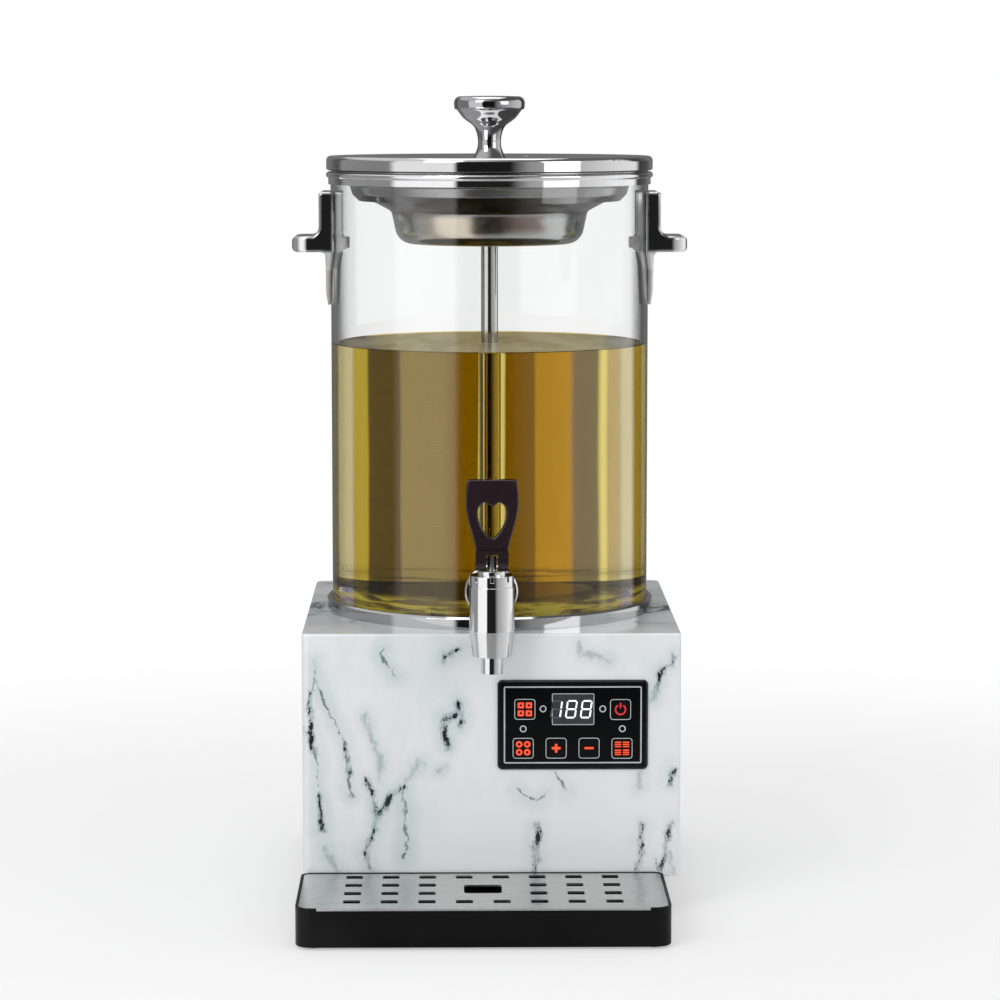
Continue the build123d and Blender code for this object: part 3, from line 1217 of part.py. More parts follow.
with BuildPart() as spray_nozzle:
    with BuildSketch(level(TUBE_TOP - NOZZLE_GRIP)):
        Circle(NOZZLE_R)
    extrude(amount=NOZZLE_H)
    fillet(spray_nozzle.faces().sort_by(Axis.Z)[-1].edges(), NOZZLE_HOLE_R)
    with BuildSketch(level(TUBE_TOP - NOZZLE_GRIP)):
        Circle(TUBE_R + SCREW_FIT)
    extrude(amount=NOZZLE_GRIP, mode=Mode.SUBTRACT)
    with BuildSketch(level(TUBE_TOP - NOZZLE_GRIP)):
        with PolarLocations(NOZZLE_R / 2, NOZZLE_HOLES):
            Circle(NOZZLE_HOLE_R)
    extrude(amount=NOZZLE_H, mode=Mode.SUBTRACT)
finish(spray_nozzle, "spray_nozzle")

# Spreader plate: a perforated disc on the pan's ledge, over the tea leaves
with BuildPart() as spreader_plate:
    with BuildSketch(level(SPREADER_Z)):
        Circle(SPREADER_R)
    extrude(amount=SPREADER_T)
    with BuildSketch(level(SPREADER_Z)):
        Circle(SPREADER_COLLAR_R)
    extrude(amount=SPREADER_COLLAR_H)
    with BuildSketch(level(SPREADER_Z)):
        Circle(SPREADER_COLLAR_R - SPREADER_T)
        for ring in range(SPREADER_HOLE_RINGS):
            ring_r = SPREADER_RING_1_R + ring * SPREADER_HOLE_PITCH
            with PolarLocations(ring_r, (ring + 2) * HOLES_PER_RING_STEP):
                Circle(SPREADER_HOLE_R)
    extrude(amount=SPREADER_COLLAR_H, mode=Mode.SUBTRACT)
finish(spreader_plate, "spreader_plate")

# Lid: chrome shell, slightly dished, over a steel liner, a flat seal, the knob and its screw
LID_SHOULDER_Z = LID_Z + LID_RIM_H
LID_RIDGE_R = LID_R - LID_EDGE_R
with BuildPart() as lid_shell:
    with BuildSketch(JAR_PLANE):
        with BuildLine():
            Line((LID_R - LID_T, LID_Z), (LID_R, LID_Z))
            Line((LID_R, LID_Z), (LID_R, LID_SHOULDER_Z - LID_EDGE_R))
            RadiusArc((LID_R, LID_SHOULDER_Z - LID_EDGE_R), (LID_RIDGE_R, LID_SHOULDER_Z), -LID_EDGE_R)
            TangentArc((LID_SEAT_R, LID_TOP), (LID_RIDGE_R, LID_SHOULDER_Z), tangent=(1, 0))
            Line((LID_SEAT_R, LID_TOP), (0, LID_TOP))
            Line((0, LID_TOP), (0, LID_TOP - LID_T))
            Line((0, LID_TOP - LID_T), (LID_SEAT_R, LID_TOP - LID_T))
            TangentArc((LID_SEAT_R, LID_TOP - LID_T), (LID_RIDGE_R, LID_SHOULDER_Z - LID_T), tangent=(1, 0))
            RadiusArc(
                (LID_R - LID_T, LID_SHOULDER_Z - LID_EDGE_R),
                (LID_RIDGE_R, LID_SHOULDER_Z - LID_T),
                LID_T - LID_EDGE_R,
            )
            Line((LID_R - LID_T, LID_SHOULDER_Z - LID_EDGE_R), (LID_R - LID_T, LID_Z))
        make_face()
    revolve(axis=JAR_AXIS)
    with BuildSketch(level(LID_Z)):
        Circle(KNOB_SCREW_R + SCREW_FIT)
        with Locations((VENT_HOLE_X, VENT_HOLE_Y)):
            Circle(VENT_HOLE_R)
    extrude(amount=LID_RIM_H, mode=Mode.SUBTRACT)
finish(lid_shell, "lid_shell")

with BuildPart() as lid_liner:
    with BuildSketch(level(LID_Z)):
        Circle(LID_R - LID_T)
        Circle(KNOB_SCREW_R + SCREW_FIT, mode=Mode.SUBTRACT)
        with Locations((VENT_HOLE_X, VENT_HOLE_Y)):
            Circle(VENT_HOLE_R, mode=Mode.SUBTRACT)
    extrude(amount=LINER_T)
    with BuildSketch(level(LID_Z)):
        Circle(LINER_SKIRT_R)
        Circle(LINER_SKIRT_R - LINER_T, mode=Mode.SUBTRACT)
    extrude(amount=-LINER_SKIRT_H)
finish(lid_liner, "lid_liner")

with BuildPart() as lid_seal:
    with BuildSketch(level(LID_Z)):
        Circle(LID_R - LID_T)
        Circle(LINER_SKIRT_R + SCREW_FIT, mode=Mode.SUBTRACT)
    extrude(amount=-LID_SEAL_T)
finish(lid_seal, "lid_seal")

with BuildPart() as lid_knob:
    with BuildSketch(JAR_PLANE):
        with BuildLine():
            Line((0, LID_TOP), (KNOB_FOOT_R, LID_TOP))
            Spline(
                (KNOB_FOOT_R, LID_TOP),
                (KNOB_NECK_R, LID_TOP + KNOB_NECK_Z),
                (KNOB_WAIST_R, LID_TOP + KNOB_WAIST_Z),
                (KNOB_THROAT_R, LID_TOP + KNOB_THROAT_Z),
                (KNOB_CHEEK_R, LID_TOP + KNOB_CHEEK_Z),
                (KNOB_BROW_R, LID_TOP + KNOB_BROW_Z),
                (KNOB_R, LID_TOP + KNOB_WIDE_Z),
                tangents=[KNOB_FOOT_LEAN, (0, 1)],
            )
            TangentArc(
                (KNOB_R, LID_TOP + KNOB_WIDE_Z),
                (KNOB_FACE_R, LID_TOP + KNOB_H - KNOB_FACE_DROP),
                tangent=(0, 1),
            )
            TangentArc(
                (0, LID_TOP + KNOB_H),
                (KNOB_FACE_R, LID_TOP + KNOB_H - KNOB_FACE_DROP),
                tangent=(1, 0),
            )
            Line((0, LID_TOP + KNOB_H), (0, LID_TOP))
        make_face()
    revolve(axis=JAR_AXIS)
    with BuildSketch(level(LID_TOP)):
        Circle(KNOB_SCREW_R)
    extrude(amount=KNOB_BORE_DEPTH, mode=Mode.SUBTRACT)
finish(lid_knob, "lid_knob")

with BuildPart() as knob_screw:
    with BuildSketch(level(LID_Z)):
        Circle(KNOB_SCREW_HEAD_R)
    extrude(amount=-KNOB_SCREW_HEAD_T)
    with BuildSketch(level(LID_Z)):
        Circle(KNOB_SCREW_R)
    extrude(amount=LID_TOP - LID_Z + KNOB_BORE_DEPTH - FIT)
finish(knob_screw, "knob_screw")


def tray_plan(inset):
    """The tray's plan, shrunk by inset: its front corners are rounder than its back ones."""
    with BuildSketch() as plan:
        Rectangle(TRAY_W - 2 * inset, TRAY_D - 2 * inset)
        fillet(plan.vertices().group_by(Axis.Y)[0], TRAY_FRONT_R - inset)
        fillet(plan.vertices().group_by(Axis.Y)[-1], TRAY_BACK_R - inset)
    return plan.sketch


# Drip tray: a deep pan with a shelf for the grille, its front rim cut down between the corners
GRILLE_FRONT_W = TRAY_W - 2 * TRAY_CORNER_KEEP
with BuildPart() as drip_tray:
    with BuildSketch(level(TRAY_PAD_T, TRAY_Y, TRAY_X)):
        add(tray_plan(0))
    extrude(amount=TRAY_H - TRAY_PAD_T)
    fillet(drip_tray.faces().sort_by(Axis.Z)[0].edges(), TRAY_EDGE_R)
    fillet(drip_tray.faces().sort_by(Axis.Z)[-1].edges(), TRAY_EDGE_R / 2)
    with BuildSketch(level(GRILLE_Z - GRILLE_LIFT_GAP, TRAY_Y, TRAY_X)):
        add(tray_plan(TRAY_RIM_W))
        with Locations((0, -TRAY_D / 2)):
            Rectangle(GRILLE_FRONT_W + 2 * FIT, 4 * TRAY_RIM_W)
    extrude(amount=TRAY_H, mode=Mode.SUBTRACT)
    with BuildSketch(level(TRAY_PAD_T + TRAY_FLOOR_T, TRAY_Y, TRAY_X)):
        add(tray_plan(TRAY_RIM_W + TRAY_LEDGE))
    extrude(amount=TRAY_H, mode=Mode.SUBTRACT)
finish(drip_tray, "drip_tray")

with BuildPart() as tray_pads:
    with BuildSketch(level(0, TRAY_Y, TRAY_X)):
        with GridLocations(TRAY_W - 4 * TRAY_PAD_R, TRAY_D - 4 * TRAY_PAD_R, 2, 2):
            Circle(TRAY_PAD_R)
    extrude(amount=TRAY_PAD_T)
finish(tray_pads, "tray_pads")

# Grille: a flat steel plate with rows of slots and one large slot in the middle
SLOT_PLACES = [
    ((column - (SLOT_COLUMNS - 1) / 2) * SLOT_PITCH_X, (row - (SLOT_ROWS - 1) / 2) * SLOT_PITCH_Y)
    for column in range(SLOT_COLUMNS)
    for row in range(SLOT_ROWS)
]
BIG_SLOT_KEEPOUT_X = (BIG_SLOT_W + SLOT_W) / 2
BIG_SLOT_KEEPOUT_Y = (BIG_SLOT_H + SLOT_H) / 2
with BuildPart() as drip_grille:
    with BuildSketch(level(GRILLE_Z, TRAY_Y, TRAY_X)):
        add(tray_plan(TRAY_RIM_W + FIT))
        with Locations((0, -TRAY_D / 2 + 2 * TRAY_RIM_W)):
            Rectangle(GRILLE_FRONT_W, 4 * TRAY_RIM_W)
        for slot_x, slot_y in SLOT_PLACES:
            if abs(slot_x) > BIG_SLOT_KEEPOUT_X or abs(slot_y) > BIG_SLOT_KEEPOUT_Y:
                with Locations((slot_x, slot_y + SLOT_SHIFT_Y)):
                    RectangleRounded(SLOT_W, SLOT_H, SLOT_R, mode=Mode.SUBTRACT)
        with Locations((0, SLOT_SHIFT_Y)):
            RectangleRounded(BIG_SLOT_W, BIG_SLOT_H, BIG_SLOT_R, mode=Mode.SUBTRACT)
    extrude(amount=GRILLE_T)
finish(drip_grille, "drip_grille")
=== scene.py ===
"""Looks of the automatic tea maker: finishes, smooth turned metal and glass, tea, key signs and stage.

Lengths are in metres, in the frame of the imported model: +Z up, the front faces -Y.
"""
import bmesh
import bpy
import math
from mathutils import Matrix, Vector


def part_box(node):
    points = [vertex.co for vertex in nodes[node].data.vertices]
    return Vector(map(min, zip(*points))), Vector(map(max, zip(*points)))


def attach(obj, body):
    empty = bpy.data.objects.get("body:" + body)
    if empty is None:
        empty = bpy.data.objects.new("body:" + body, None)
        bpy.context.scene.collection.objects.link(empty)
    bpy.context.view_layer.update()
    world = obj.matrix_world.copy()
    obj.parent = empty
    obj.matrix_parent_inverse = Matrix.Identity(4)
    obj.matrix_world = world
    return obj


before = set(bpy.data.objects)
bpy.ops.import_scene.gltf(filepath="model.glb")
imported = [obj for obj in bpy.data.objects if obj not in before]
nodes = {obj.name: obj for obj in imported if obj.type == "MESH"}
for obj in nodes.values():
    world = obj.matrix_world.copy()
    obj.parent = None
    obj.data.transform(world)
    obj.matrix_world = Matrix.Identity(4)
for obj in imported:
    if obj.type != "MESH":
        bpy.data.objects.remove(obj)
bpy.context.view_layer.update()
scene = bpy.context.scene
scene.view_settings.view_transform = "Standard"
MM = 0.001


def low(node):
    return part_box(node)[0]


def high(node):
    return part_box(node)[1]


def middle(node):
    return (low(node) + high(node)) / 2


def radius(node):
    return (high(node).x - low(node).x) / 2


# Places read from the frame
JAR = Vector((0, middle("glass_jar").y, 0))
FRONT_Y = low("base_housing").y
GLASS_R = radius("glass_jar")
GLASS_T = 4 * MM
PAN_WAIST_Z = low("brew_pan").z + 23 * MM

# Camera: as high as the lid's knob, looking a little down at the middle of the object
CAMERA_PLACE = Vector((-0.0252, JAR.y - 2.3916, 0.5532))
CAMERA_AIM = Vector((0.0075, JAR.y, 0.2708))
CAMERA_LENS = 120.5


def make_camera():
    data = bpy.data.cameras.new("camera")
    data.lens = CAMERA_LENS
    data.sensor_width = 36
    camera = bpy.data.objects.new("camera", data)
    camera.location = CAMERA_PLACE
    camera.rotation_euler = (CAMERA_AIM - CAMERA_PLACE).to_track_quat("-Z", "Y").to_euler()
    scene.collection.objects.link(camera)
    scene.camera = camera


make_camera()


# Shader helpers
class Nodes:
    """A node tree with short calls for the nodes used here."""

    def __init__(self, tree):
        self.tree = tree

    def node(self, kind, **inputs):
        made = self.tree.nodes.new(kind)
        for key, value in inputs.items():
            self.put(made, key, value)
        return made

    def put(self, node, key, value):
        socket = node.inputs[int(key[1:])] if key[0] == "i" and key[1:].isdigit() else node.inputs[key]
        if isinstance(value, bpy.types.NodeSocket):
            self.tree.links.new(value, socket)
        else:
            socket.default_value = value

    def place(self, stretch=(1, 1, 1), turn=(0, 0, 0)):
        """Object coordinates, in metres, stretched and turned."""
        coords = self.tree.nodes.new("ShaderNodeTexCoord")
        mapping = self.tree.nodes.new("ShaderNodeMapping")
        mapping.inputs["Scale"].default_value = stretch
        mapping.inputs["Rotation"].default_value = turn
        self.tree.links.new(coords.outputs["Object"], mapping.inputs["Vector"])
        return mapping.outputs["Vector"]

    def noise(self, vector, scale, detail=4.0, rough=0.5):
        made = self.node("ShaderNodeTexNoise", Vector=vector, Scale=scale, Detail=detail, Roughness=rough)
        return made.outputs["Fac"]

    def math(self, kind, a, b=0.0):
        made = self.tree.nodes.new("ShaderNodeMath")
        made.operation = kind
        self.put(made, "i0", a)
        self.put(made, "i1", b)
        return made.outputs[0]

    def vector(self, kind, a, b, output="Vector"):
        made = self.tree.nodes.new("ShaderNodeVectorMath")
        made.operation = kind
        self.put(made, "i0", a)
        self.put(made, "i1", b)
        return made.outputs[output]

    def round_jar(self):
        """Angle round the jar's axis, from the front, clockwise from above."""
        coords = self.tree.nodes.new("ShaderNodeTexCoord").outputs["Object"]
        parts = self.parts(self.vector("SUBTRACT", coords, JAR))
        return self.math("ARCTAN2", parts["X"], self.math("MULTIPLY", parts["Y"], -1.0))

    def facing(self):
        """0 where the surface faces the eye, 1 at a flat angle."""
        return self.node("ShaderNodeLayerWeight", Blend=0.5).outputs["Facing"]

    def parts(self, vector):
        return self.node("ShaderNodeSeparateXYZ", Vector=vector).outputs

    def span(self, value, low_in, high_in, low_out=0.0, high_out=1.0, smooth=True):
        made = self.tree.nodes.new("ShaderNodeMapRange")
        made.interpolation_type = "SMOOTHSTEP" if smooth else "LINEAR"
        self.put(made, "Value", value)
        for key, number in zip(
            ("From Min", "From Max", "To Min", "To Max"), (low_in, high_in, low_out, high_out)
        ):
            made.inputs[key].default_value = number
        return made.outputs["Result"]

    def mix(self, share, a, b, blend="MIX"):
        made = self.tree.nodes.new("ShaderNodeMix")
        made.data_type = "RGBA"
        made.blend_type = blend
        for socket, value in ((0, share), (6, a), (7, b)):
            if isinstance(value, bpy.types.NodeSocket):
                self.tree.links.new(value, made.inputs[socket])
            else:
                made.inputs[socket].default_value = (*value, 1) if isinstance(value, tuple) else value
        return made.outputs[2]

    def ramp(self, value, stops):
        made = self.node("ShaderNodeValToRGB", Fac=value)
        elements = made.color_ramp.elements
        while len(elements) < len(stops):
            elements.new(0.5)
        for element, (place, colour) in zip(elements, stops):
            element.position = place
            element.color = (*colour, 1)
        return made.outputs["Color"]


class Shader(Nodes):
    """A material's Principled surface and the nodes that feed it."""

    def __init__(self, name, **values):
        self.material = bpy.data.materials.new(name)
        self.material.use_nodes = True
        super().__init__(self.material.node_tree)
        self.surface = self.tree.nodes["Principled BSDF"]
        for socket, value in values.items():
            self.surface.inputs[socket.replace("_", " ")].default_value = value

    def set(self, socket, value):
        self.put(self.surface, socket, value)

    def bump(self, height, distance, strength=1.0, edge=0.0):
        """Bump from a height, over edges that look rounded by the given radius."""
        made = self.node("ShaderNodeBump", Height=height, Distance=distance, Strength=strength)
        if edge:
            soft = self.tree.nodes.new("ShaderNodeBevel")
            soft.inputs["Radius"].default_value = edge
            self.put(made, "Normal", soft.outputs["Normal"])
        self.set("Normal", made.outputs["Normal"])


def chrome(name="chrome", tint=(0.80, 0.80, 0.81), edge=0.4 * MM):
    """Polished plating: faint smears in its gloss and a very slight waviness."""
    s = Shader(name, Metallic=1.0)
    smear = s.noise(s.place((1, 1, 0.35)), 38, 5, 0.6)
    s.set("Roughness", s.span(smear, 0.35, 0.75, 0.035, 0.11))
    s.set("Base Color", s.mix(s.span(smear, 0.4, 0.7), tint, tuple(0.94 * c for c in tint)))
    s.bump(s.noise(s.place(), 60, 2), 0.00002, 0.5, edge)
    return s.material


def brushed(name, stretch, tint=(0.60, 0.60, 0.585), rough=(0.22, 0.40)):
    """Stainless steel with fine straight brushing across the stretched directions."""
    s = Shader(name, Metallic=1.0)
    lines = s.noise(s.place(stretch), 1.0, 6, 0.75)
    cloud = s.noise(s.place(), 22, 3)
    s.set("Roughness", s.span(lines, 0.3, 0.7, *rough))
    shade = s.mix(s.span(lines, 0.3, 0.7), tuple(0.86 * c for c in tint), tint)
    s.set("Base Color", s.mix(s.span(cloud, 0.35, 0.7, 0.0, 0.35), shade, tuple(0.9 * c for c in tint)))
    s.bump(lines, 0.00004, 0.6)
    return s.material


def spun(name, centre, tint=(0.62, 0.615, 0.60), rough=(0.16, 0.30)):
    """Spun steel: fine rings about an upright axis."""
    s = Shader(name, Metallic=1.0)
    coords = s.node("ShaderNodeTexCoord").outputs["Object"]
    parts = s.parts(s.vector("SUBTRACT", coords, centre))
    across = s.math("MULTIPLY", parts["X"], parts["X"])
    along = s.math("MULTIPLY", parts["Y"], parts["Y"])
    ring = s.math("SQRT", s.math("ADD", across, along))
    joined = s.node("ShaderNodeCombineXYZ", X=ring, Y=parts["Z"])
    lines = s.noise(joined.outputs[0], 1400, 3, 0.7)
    cloud = s.noise(coords, 30, 3)
    s.set("Roughness", s.span(lines, 0.3, 0.7, *rough))
    shade = s.mix(s.span(lines, 0.3, 0.7), tuple(0.88 * c for c in tint), tint)
    s.set("Base Color", s.mix(s.span(cloud, 0.3, 0.7, 0.0, 0.4), shade, tuple(0.88 * c for c in tint)))
    s.bump(lines, 0.00003, 0.5)
    return s.material


def plastic(name, colour, rough=0.3, grain=0.0, coat=0.0, shine=0.5):
    """Moulded plastic or rubber: slight colour drift, uneven gloss and a fine grain."""
    s = Shader(name, Coat_Weight=coat, Specular_IOR_Level=shine)
    drift = s.noise(s.place(), 45, 4)
    s.set("Base Color", s.mix(s.span(drift, 0.35, 0.65), colour, tuple(0.88 * c for c in colour)))
    s.set("Roughness", s.span(s.noise(s.place(), 90, 3), 0.3, 0.7, rough * 0.88, rough * 1.14))
    if grain:
        s.bump(s.noise(s.place(), 2600, 2), grain, 0.7)
    return s.material


def glow(name, colour, strength):
    """A lit sign, a little uneven as a lamp behind film is."""
    s = Shader(name, Roughness=0.4)
    patch = s.span(s.noise(s.place(), 700, 2), 0.3, 0.7)
    s.set("Base Color", s.mix(patch, colour, tuple(0.8 * c for c in colour)))
    s.set("Emission Color", s.mix(patch, colour, tuple(0.82 * c for c in colour)))
    s.surface.inputs["Emission Strength"].default_value = strength
    return s.material


# Veins on the front: points (x, z) in millimetres from the middle of the base, by strength
DARK_VEINS = [
    [(-124, 153), (-125, 138), (-123, 121), (-122, 112)], [(-119, 80), (-120, 73), (-117.5, 58)],
    [(-99, 114), (-97, 97)], [(-86, 92), (-82, 80), (-80, 69), (-82, 56), (-85, 45), (-83, 30)],
    [(-80, 69), (-73, 73), (-68, 80), (-59, 86)], [(-32, 178), (-22, 182)],
    [(-23, 145), (-20, 138), (-22, 131)], [(-34, 134), (-23, 138)], [(-34, 133), (-32, 121), (-30, 117)],
    [(31, 62), (31, 52), (30, 40), (29, 28)], [(126, 179), (124, 172), (117, 167), (115, 160)],
    [(124, 100), (121, 90)], [(106, 61), (103, 49), (100, 30)], [(125, 64), (120, 44), (117, 30)],
]
THIN_VEINS = [
    [(-122, 174), (-121, 165), (-124, 153)], [(-122, 112), (-120, 100), (-121, 86)],
    [(-121, 163), (-115, 148), (-105.5, 129), (-99, 114)], [(-97, 97), (-97, 83)],
    [(-60, 86), (-59, 61), (-58, 37)], [(-73, 184), (-76, 179), (-66, 163)],
    [(43, 97), (47, 90), (50, 83)], [(19, 86), (23, 81), (30, 78), (37, 83)], [(112, 37), (115, 29)],
]
FAINT_VEINS = [
    [(-114, 44), (-105.5, 29)], [(-88, 139), (-82, 121), (-77, 107), (-76, 93)],
    [(-58, 93), (-54, 100), (-49, 105)], [(-38, 100), (-34, 101)], [(60, 187), (64, 181), (79, 175)],
    [(102, 97), (102, 88)], [(122, 42), (126, 26)], [(115, 160), (112, 150)],
]


def vein_distance(s, place, veins):
    """Distance in millimetres from a point of the front to the nearest of the drawn veins."""
    nearest = None
    for vein in veins:
        for (x0, z0), (x1, z1) in zip(vein, vein[1:]):
            start, run = Vector((x0, 0, z0)), Vector((x1 - x0, 0, z1 - z0))
            reach = s.vector("SUBTRACT", place, start)
            share = s.math("DIVIDE", s.vector("DOT_PRODUCT", reach, run, "Value"), run.length_squared)
            share = s.math("MINIMUM", s.math("MAXIMUM", share, 0.0), 1.0)
            along = s.tree.nodes.new("ShaderNodeVectorMath")
            along.operation = "SCALE"
            s.put(along, "i0", run)
            s.put(along, "Scale", share)
            away = s.vector("DISTANCE", reach, along.outputs[0], "Value")
            nearest = away if nearest is None else s.math("MINIMUM", nearest, away)
    return nearest


def marble():
    """Traditional white marble print under gloss: cool clouds and dark, broken, near-upright veins."""
    s = Shader("marble", Coat_Weight=0.3, Coat_Roughness=0.05)
    plain = s.place()
    depth = s.parts(plain)["Y"]
    behind = s.span(depth, FRONT_Y + 4 * MM, FRONT_Y + 30 * MM)
    ahead = s.math("SUBTRACT", 1.0, behind)

    # Front: the drawn veins, their course made uneven by noises
    front = s.vector("MULTIPLY", plain, Vector((1000, 0, 1000)))
    for scale, amount in ((38.0, 13.0), (210.0, 4.5), (800.0, 1.6)):
        sway = s.noise(plain, scale, 3.0)
        swing = s.noise(front, scale / 1000, 3.0)
        sway, swing = (s.math("SUBTRACT", value, 0.5) for value in (sway, swing))
        shift = s.node("ShaderNodeCombineXYZ", X=sway, Z=swing)
        front = s.vector("ADD", front, s.vector("MULTIPLY", shift.outputs[0], Vector((amount, 0, amount))))
    dark = vein_distance(s, front, DARK_VEINS)
    slim = vein_distance(s, front, THIN_VEINS)
    faint = vein_distance(s, front, FAINT_VEINS)

    # Sides and back: veins along the middle values of a warped noise
    flat = s.place((1, 1, 0.42), (0, math.radians(9), 0))
    drift = s.math("MULTIPLY", s.noise(flat, 9.0, 2.0), 0.075)
    ripple = s.math("MULTIPLY", s.noise(plain, 110.0, 4.0, 0.7), 0.006)
    push = s.math("ADD", drift, ripple)
    bent = s.vector("ADD", flat, s.node("ShaderNodeCombineXYZ", X=push, Y=push, Z=push).outputs[0])
    clouds = s.noise(bent, 9, 5, 0.6)
    specks = s.noise(plain, 260, 3, 0.7)
    stretches = s.noise(flat, 15, 3, 0.6)
    away = s.math("ABSOLUTE", s.math("SUBTRACT", s.noise(bent, 11.5, 1.5, 0.5), 0.5))
    present = s.math("MULTIPLY", s.span(stretches, 0.42, 0.60), behind)
    near = s.math("MULTIPLY", s.span(away, 0.13, 0.0), s.span(stretches, 0.36, 0.60))
    near = s.math("MULTIPLY", near, behind)
    body = s.mix(s.span(clouds, 0.48, 0.32), (0.80, 0.805, 0.82), (0.70, 0.76, 0.775))
    body = s.mix(s.math("MULTIPLY", near, 0.70), body, (0.50, 0.60, 0.61))
    width = s.span(stretches, 0.46, 0.72, 0.15, 1.0)
    width = s.math("MULTIPLY", width, s.span(specks, 0.36, 0.66, 0.002, 0.026))
    core = s.math("MULTIPLY", s.math("LESS_THAN", away, width), present)
    smudge = s.math("MULTIPLY", s.span(away, 0.030, 0.004), present)
    body = s.mix(s.math("MULTIPLY", smudge, 0.6), body, (0.30, 0.38, 0.385))
    body = s.mix(core, body, (0.012, 0.020, 0.021))

    # Colours of the drawn veins: a wide cool halo, then grey strokes, then broken dark cores
    lumps = s.noise(s.place((1, 1, 0.45), (0, math.radians(20), 0)), 150, 6, 0.78)
    every = s.math("MINIMUM", s.math("MINIMUM", dark, slim), s.math("ADD", faint, 1.5))
    halo = s.math("MULTIPLY", s.span(every, 13.0, 0.0), s.span(clouds, 0.62, 0.40, 0.35, 1.0))
    body = s.mix(s.math("MULTIPLY", s.math("MULTIPLY", halo, 0.62), ahead), body, (0.52, 0.62, 0.635))
    for away, half, soft, shade, weight in (
        (faint, (-1.0, 1.8), 2.6, (0.28, 0.35, 0.36), 0.55),
        (slim, (-0.6, 1.0), 0.9, (0.10, 0.14, 0.15), 0.85),
        (dark, (-0.2, 2.6), 2.4, (0.22, 0.29, 0.30), 0.70),
        (dark, (-1.6, 1.9), 0.45, (0.010, 0.016, 0.017), 1.0),
    ):
        edge = s.math("SUBTRACT", s.span(lumps, 0.38, 0.62, *half), away)
        share = s.math("MULTIPLY", s.span(edge, -soft, soft * 0.4), weight)
        body = s.mix(s.math("MULTIPLY", share, ahead), body, shade)
    s.set("Base Color", body)
    s.set("Roughness", s.span(specks, 0.3, 0.7, 0.10, 0.17))
    return s.material


def glass():
    """Clear glass, grey where it is seen at a flat angle: painted shade that darkens its edges."""
    s = Shader("jar_glass", Roughness=0.0, IOR=1.47, Transmission_Weight=1.0)
    smear = s.noise(s.place((1, 1, 0.3)), 25, 3)
    face = s.mix(s.span(smear, 0.4, 0.7), (0.99, 0.992, 0.992), (0.97, 0.975, 0.975))
    # Painted shade: the colour falls to dark grey towards a flat angle, at the glass's edges
    s.set("Base Color", s.mix(s.span(s.facing(), 0.56, 0.92), face, (0.20, 0.21, 0.21)))
    return s.material


# Colours of the tea against white, and the bands that it shows round the jar, which are painted
# reflections and refractions of the room, light and dark: degrees from the front, clockwise from above
STRAW = (146, 121, 56)
CREAM = (204, 191, 155)
OLD_GOLD = (184, 157, 44)
DARK_OLIVE = (87, 68, 13)
SMOKE = (142, 120, 65)
AMBER = (124, 88, 4)
GOLD = (199, 159, 42)
PALE_GOLD = (228, 206, 110)
ORANGE_GOLD = (177, 130, 4)
UMBER = (119, 102, 64)
BUFF = (180, 158, 92)
BRASSY = (169, 141, 32)
TEA_BACK = (0.60, 0.42, 0.06)
TEA_LEFT_PAINTED_BANDS = [
    (-90, -74, STRAW), (-72, -61, CREAM), (-59.5, -51, OLD_GOLD), (-49.8, -34.6, DARK_OLIVE),
    (-33.6, -18, SMOKE), (-11, -4.6, AMBER), (-4.1, -3.0, PALE_GOLD), (-2.7, 0, GOLD),
]
TEA_RIGHT_PAINTED_BANDS = [
    (0, 2.7, GOLD), (3.0, 4.1, PALE_GOLD), (4.8, 15.4, AMBER), (16.3, 29, ORANGE_GOLD), (31.6, 42, UMBER),
    (44.3, 46, PALE_GOLD), (47.5, 54, BUFF), (57, 62, CREAM), (65.5, 72, BRASSY), (75.5, 77, PALE_GOLD),
    (80, 90, BUFF),
]


def seen_to_linear(colour):
    return tuple((c / 255) ** 2.2 for c in colour)


def tea_front(colour):
    """Tint of the tea's front that shows the given colour against the tea's back and a white surround."""
    return tuple(c * c / back for c, back in zip(seen_to_linear(colour), TEA_BACK))


def tea():
    """Clear tea, from gold to dark amber in soft upright bands round the jar: painted reflections and
    refractions, light and dark.
    """
    s = Shader("tea", Roughness=0.0, IOR=1.33, Transmission_Weight=1.0)
    sway = s.noise(s.place((1, 1, 0.5)), 14, 2)
    turn = s.math("ADD", s.round_jar(), s.span(sway, 0.3, 0.7, -0.006, 0.006))
    halves = []
    for bands, first in ((TEA_LEFT_PAINTED_BANDS, -180), (TEA_RIGHT_PAINTED_BANDS, 0)):
        stops = [
            ((degrees - first) / 180, tea_front(colour))
            for start, end, colour in bands for degrees in (start, end)
        ]
        stops.append((0.40 if first else 0.60, TEA_BACK))
        stops.sort()
        share = s.span(turn, math.radians(first), math.radians(first + 180), smooth=False)
        halves.append(s.ramp(share, stops))
    bands = s.mix(s.math("GREATER_THAN", turn, 0.0), *halves)

    # Painted golden glints of the dish's wall and the jar's foot: gold streaks in the tea's colour that
    # stand in for light
    height = s.parts(s.place())["Z"]
    foot = high("heating_dish").z
    streaks = s.span(s.noise(s.place((1, 1, 9)), 30, 3), 0.38, 0.58, 0.15, 1.0)
    painted_glints = s.math("MULTIPLY", s.span(height, foot + 21 * MM, foot + 15 * MM), streaks)
    s.set("Base Color", s.mix(s.math("MULTIPLY", painted_glints, 0.85), bands, (0.86, 0.70, 0.07)))
    s.set("Transmission Weight", s.math("SUBTRACT", 1.0, s.math("MULTIPLY", painted_glints, 0.8)))
    s.set("Specular Tint", (0.80, 0.66, 0.26, 1))
    return s.material


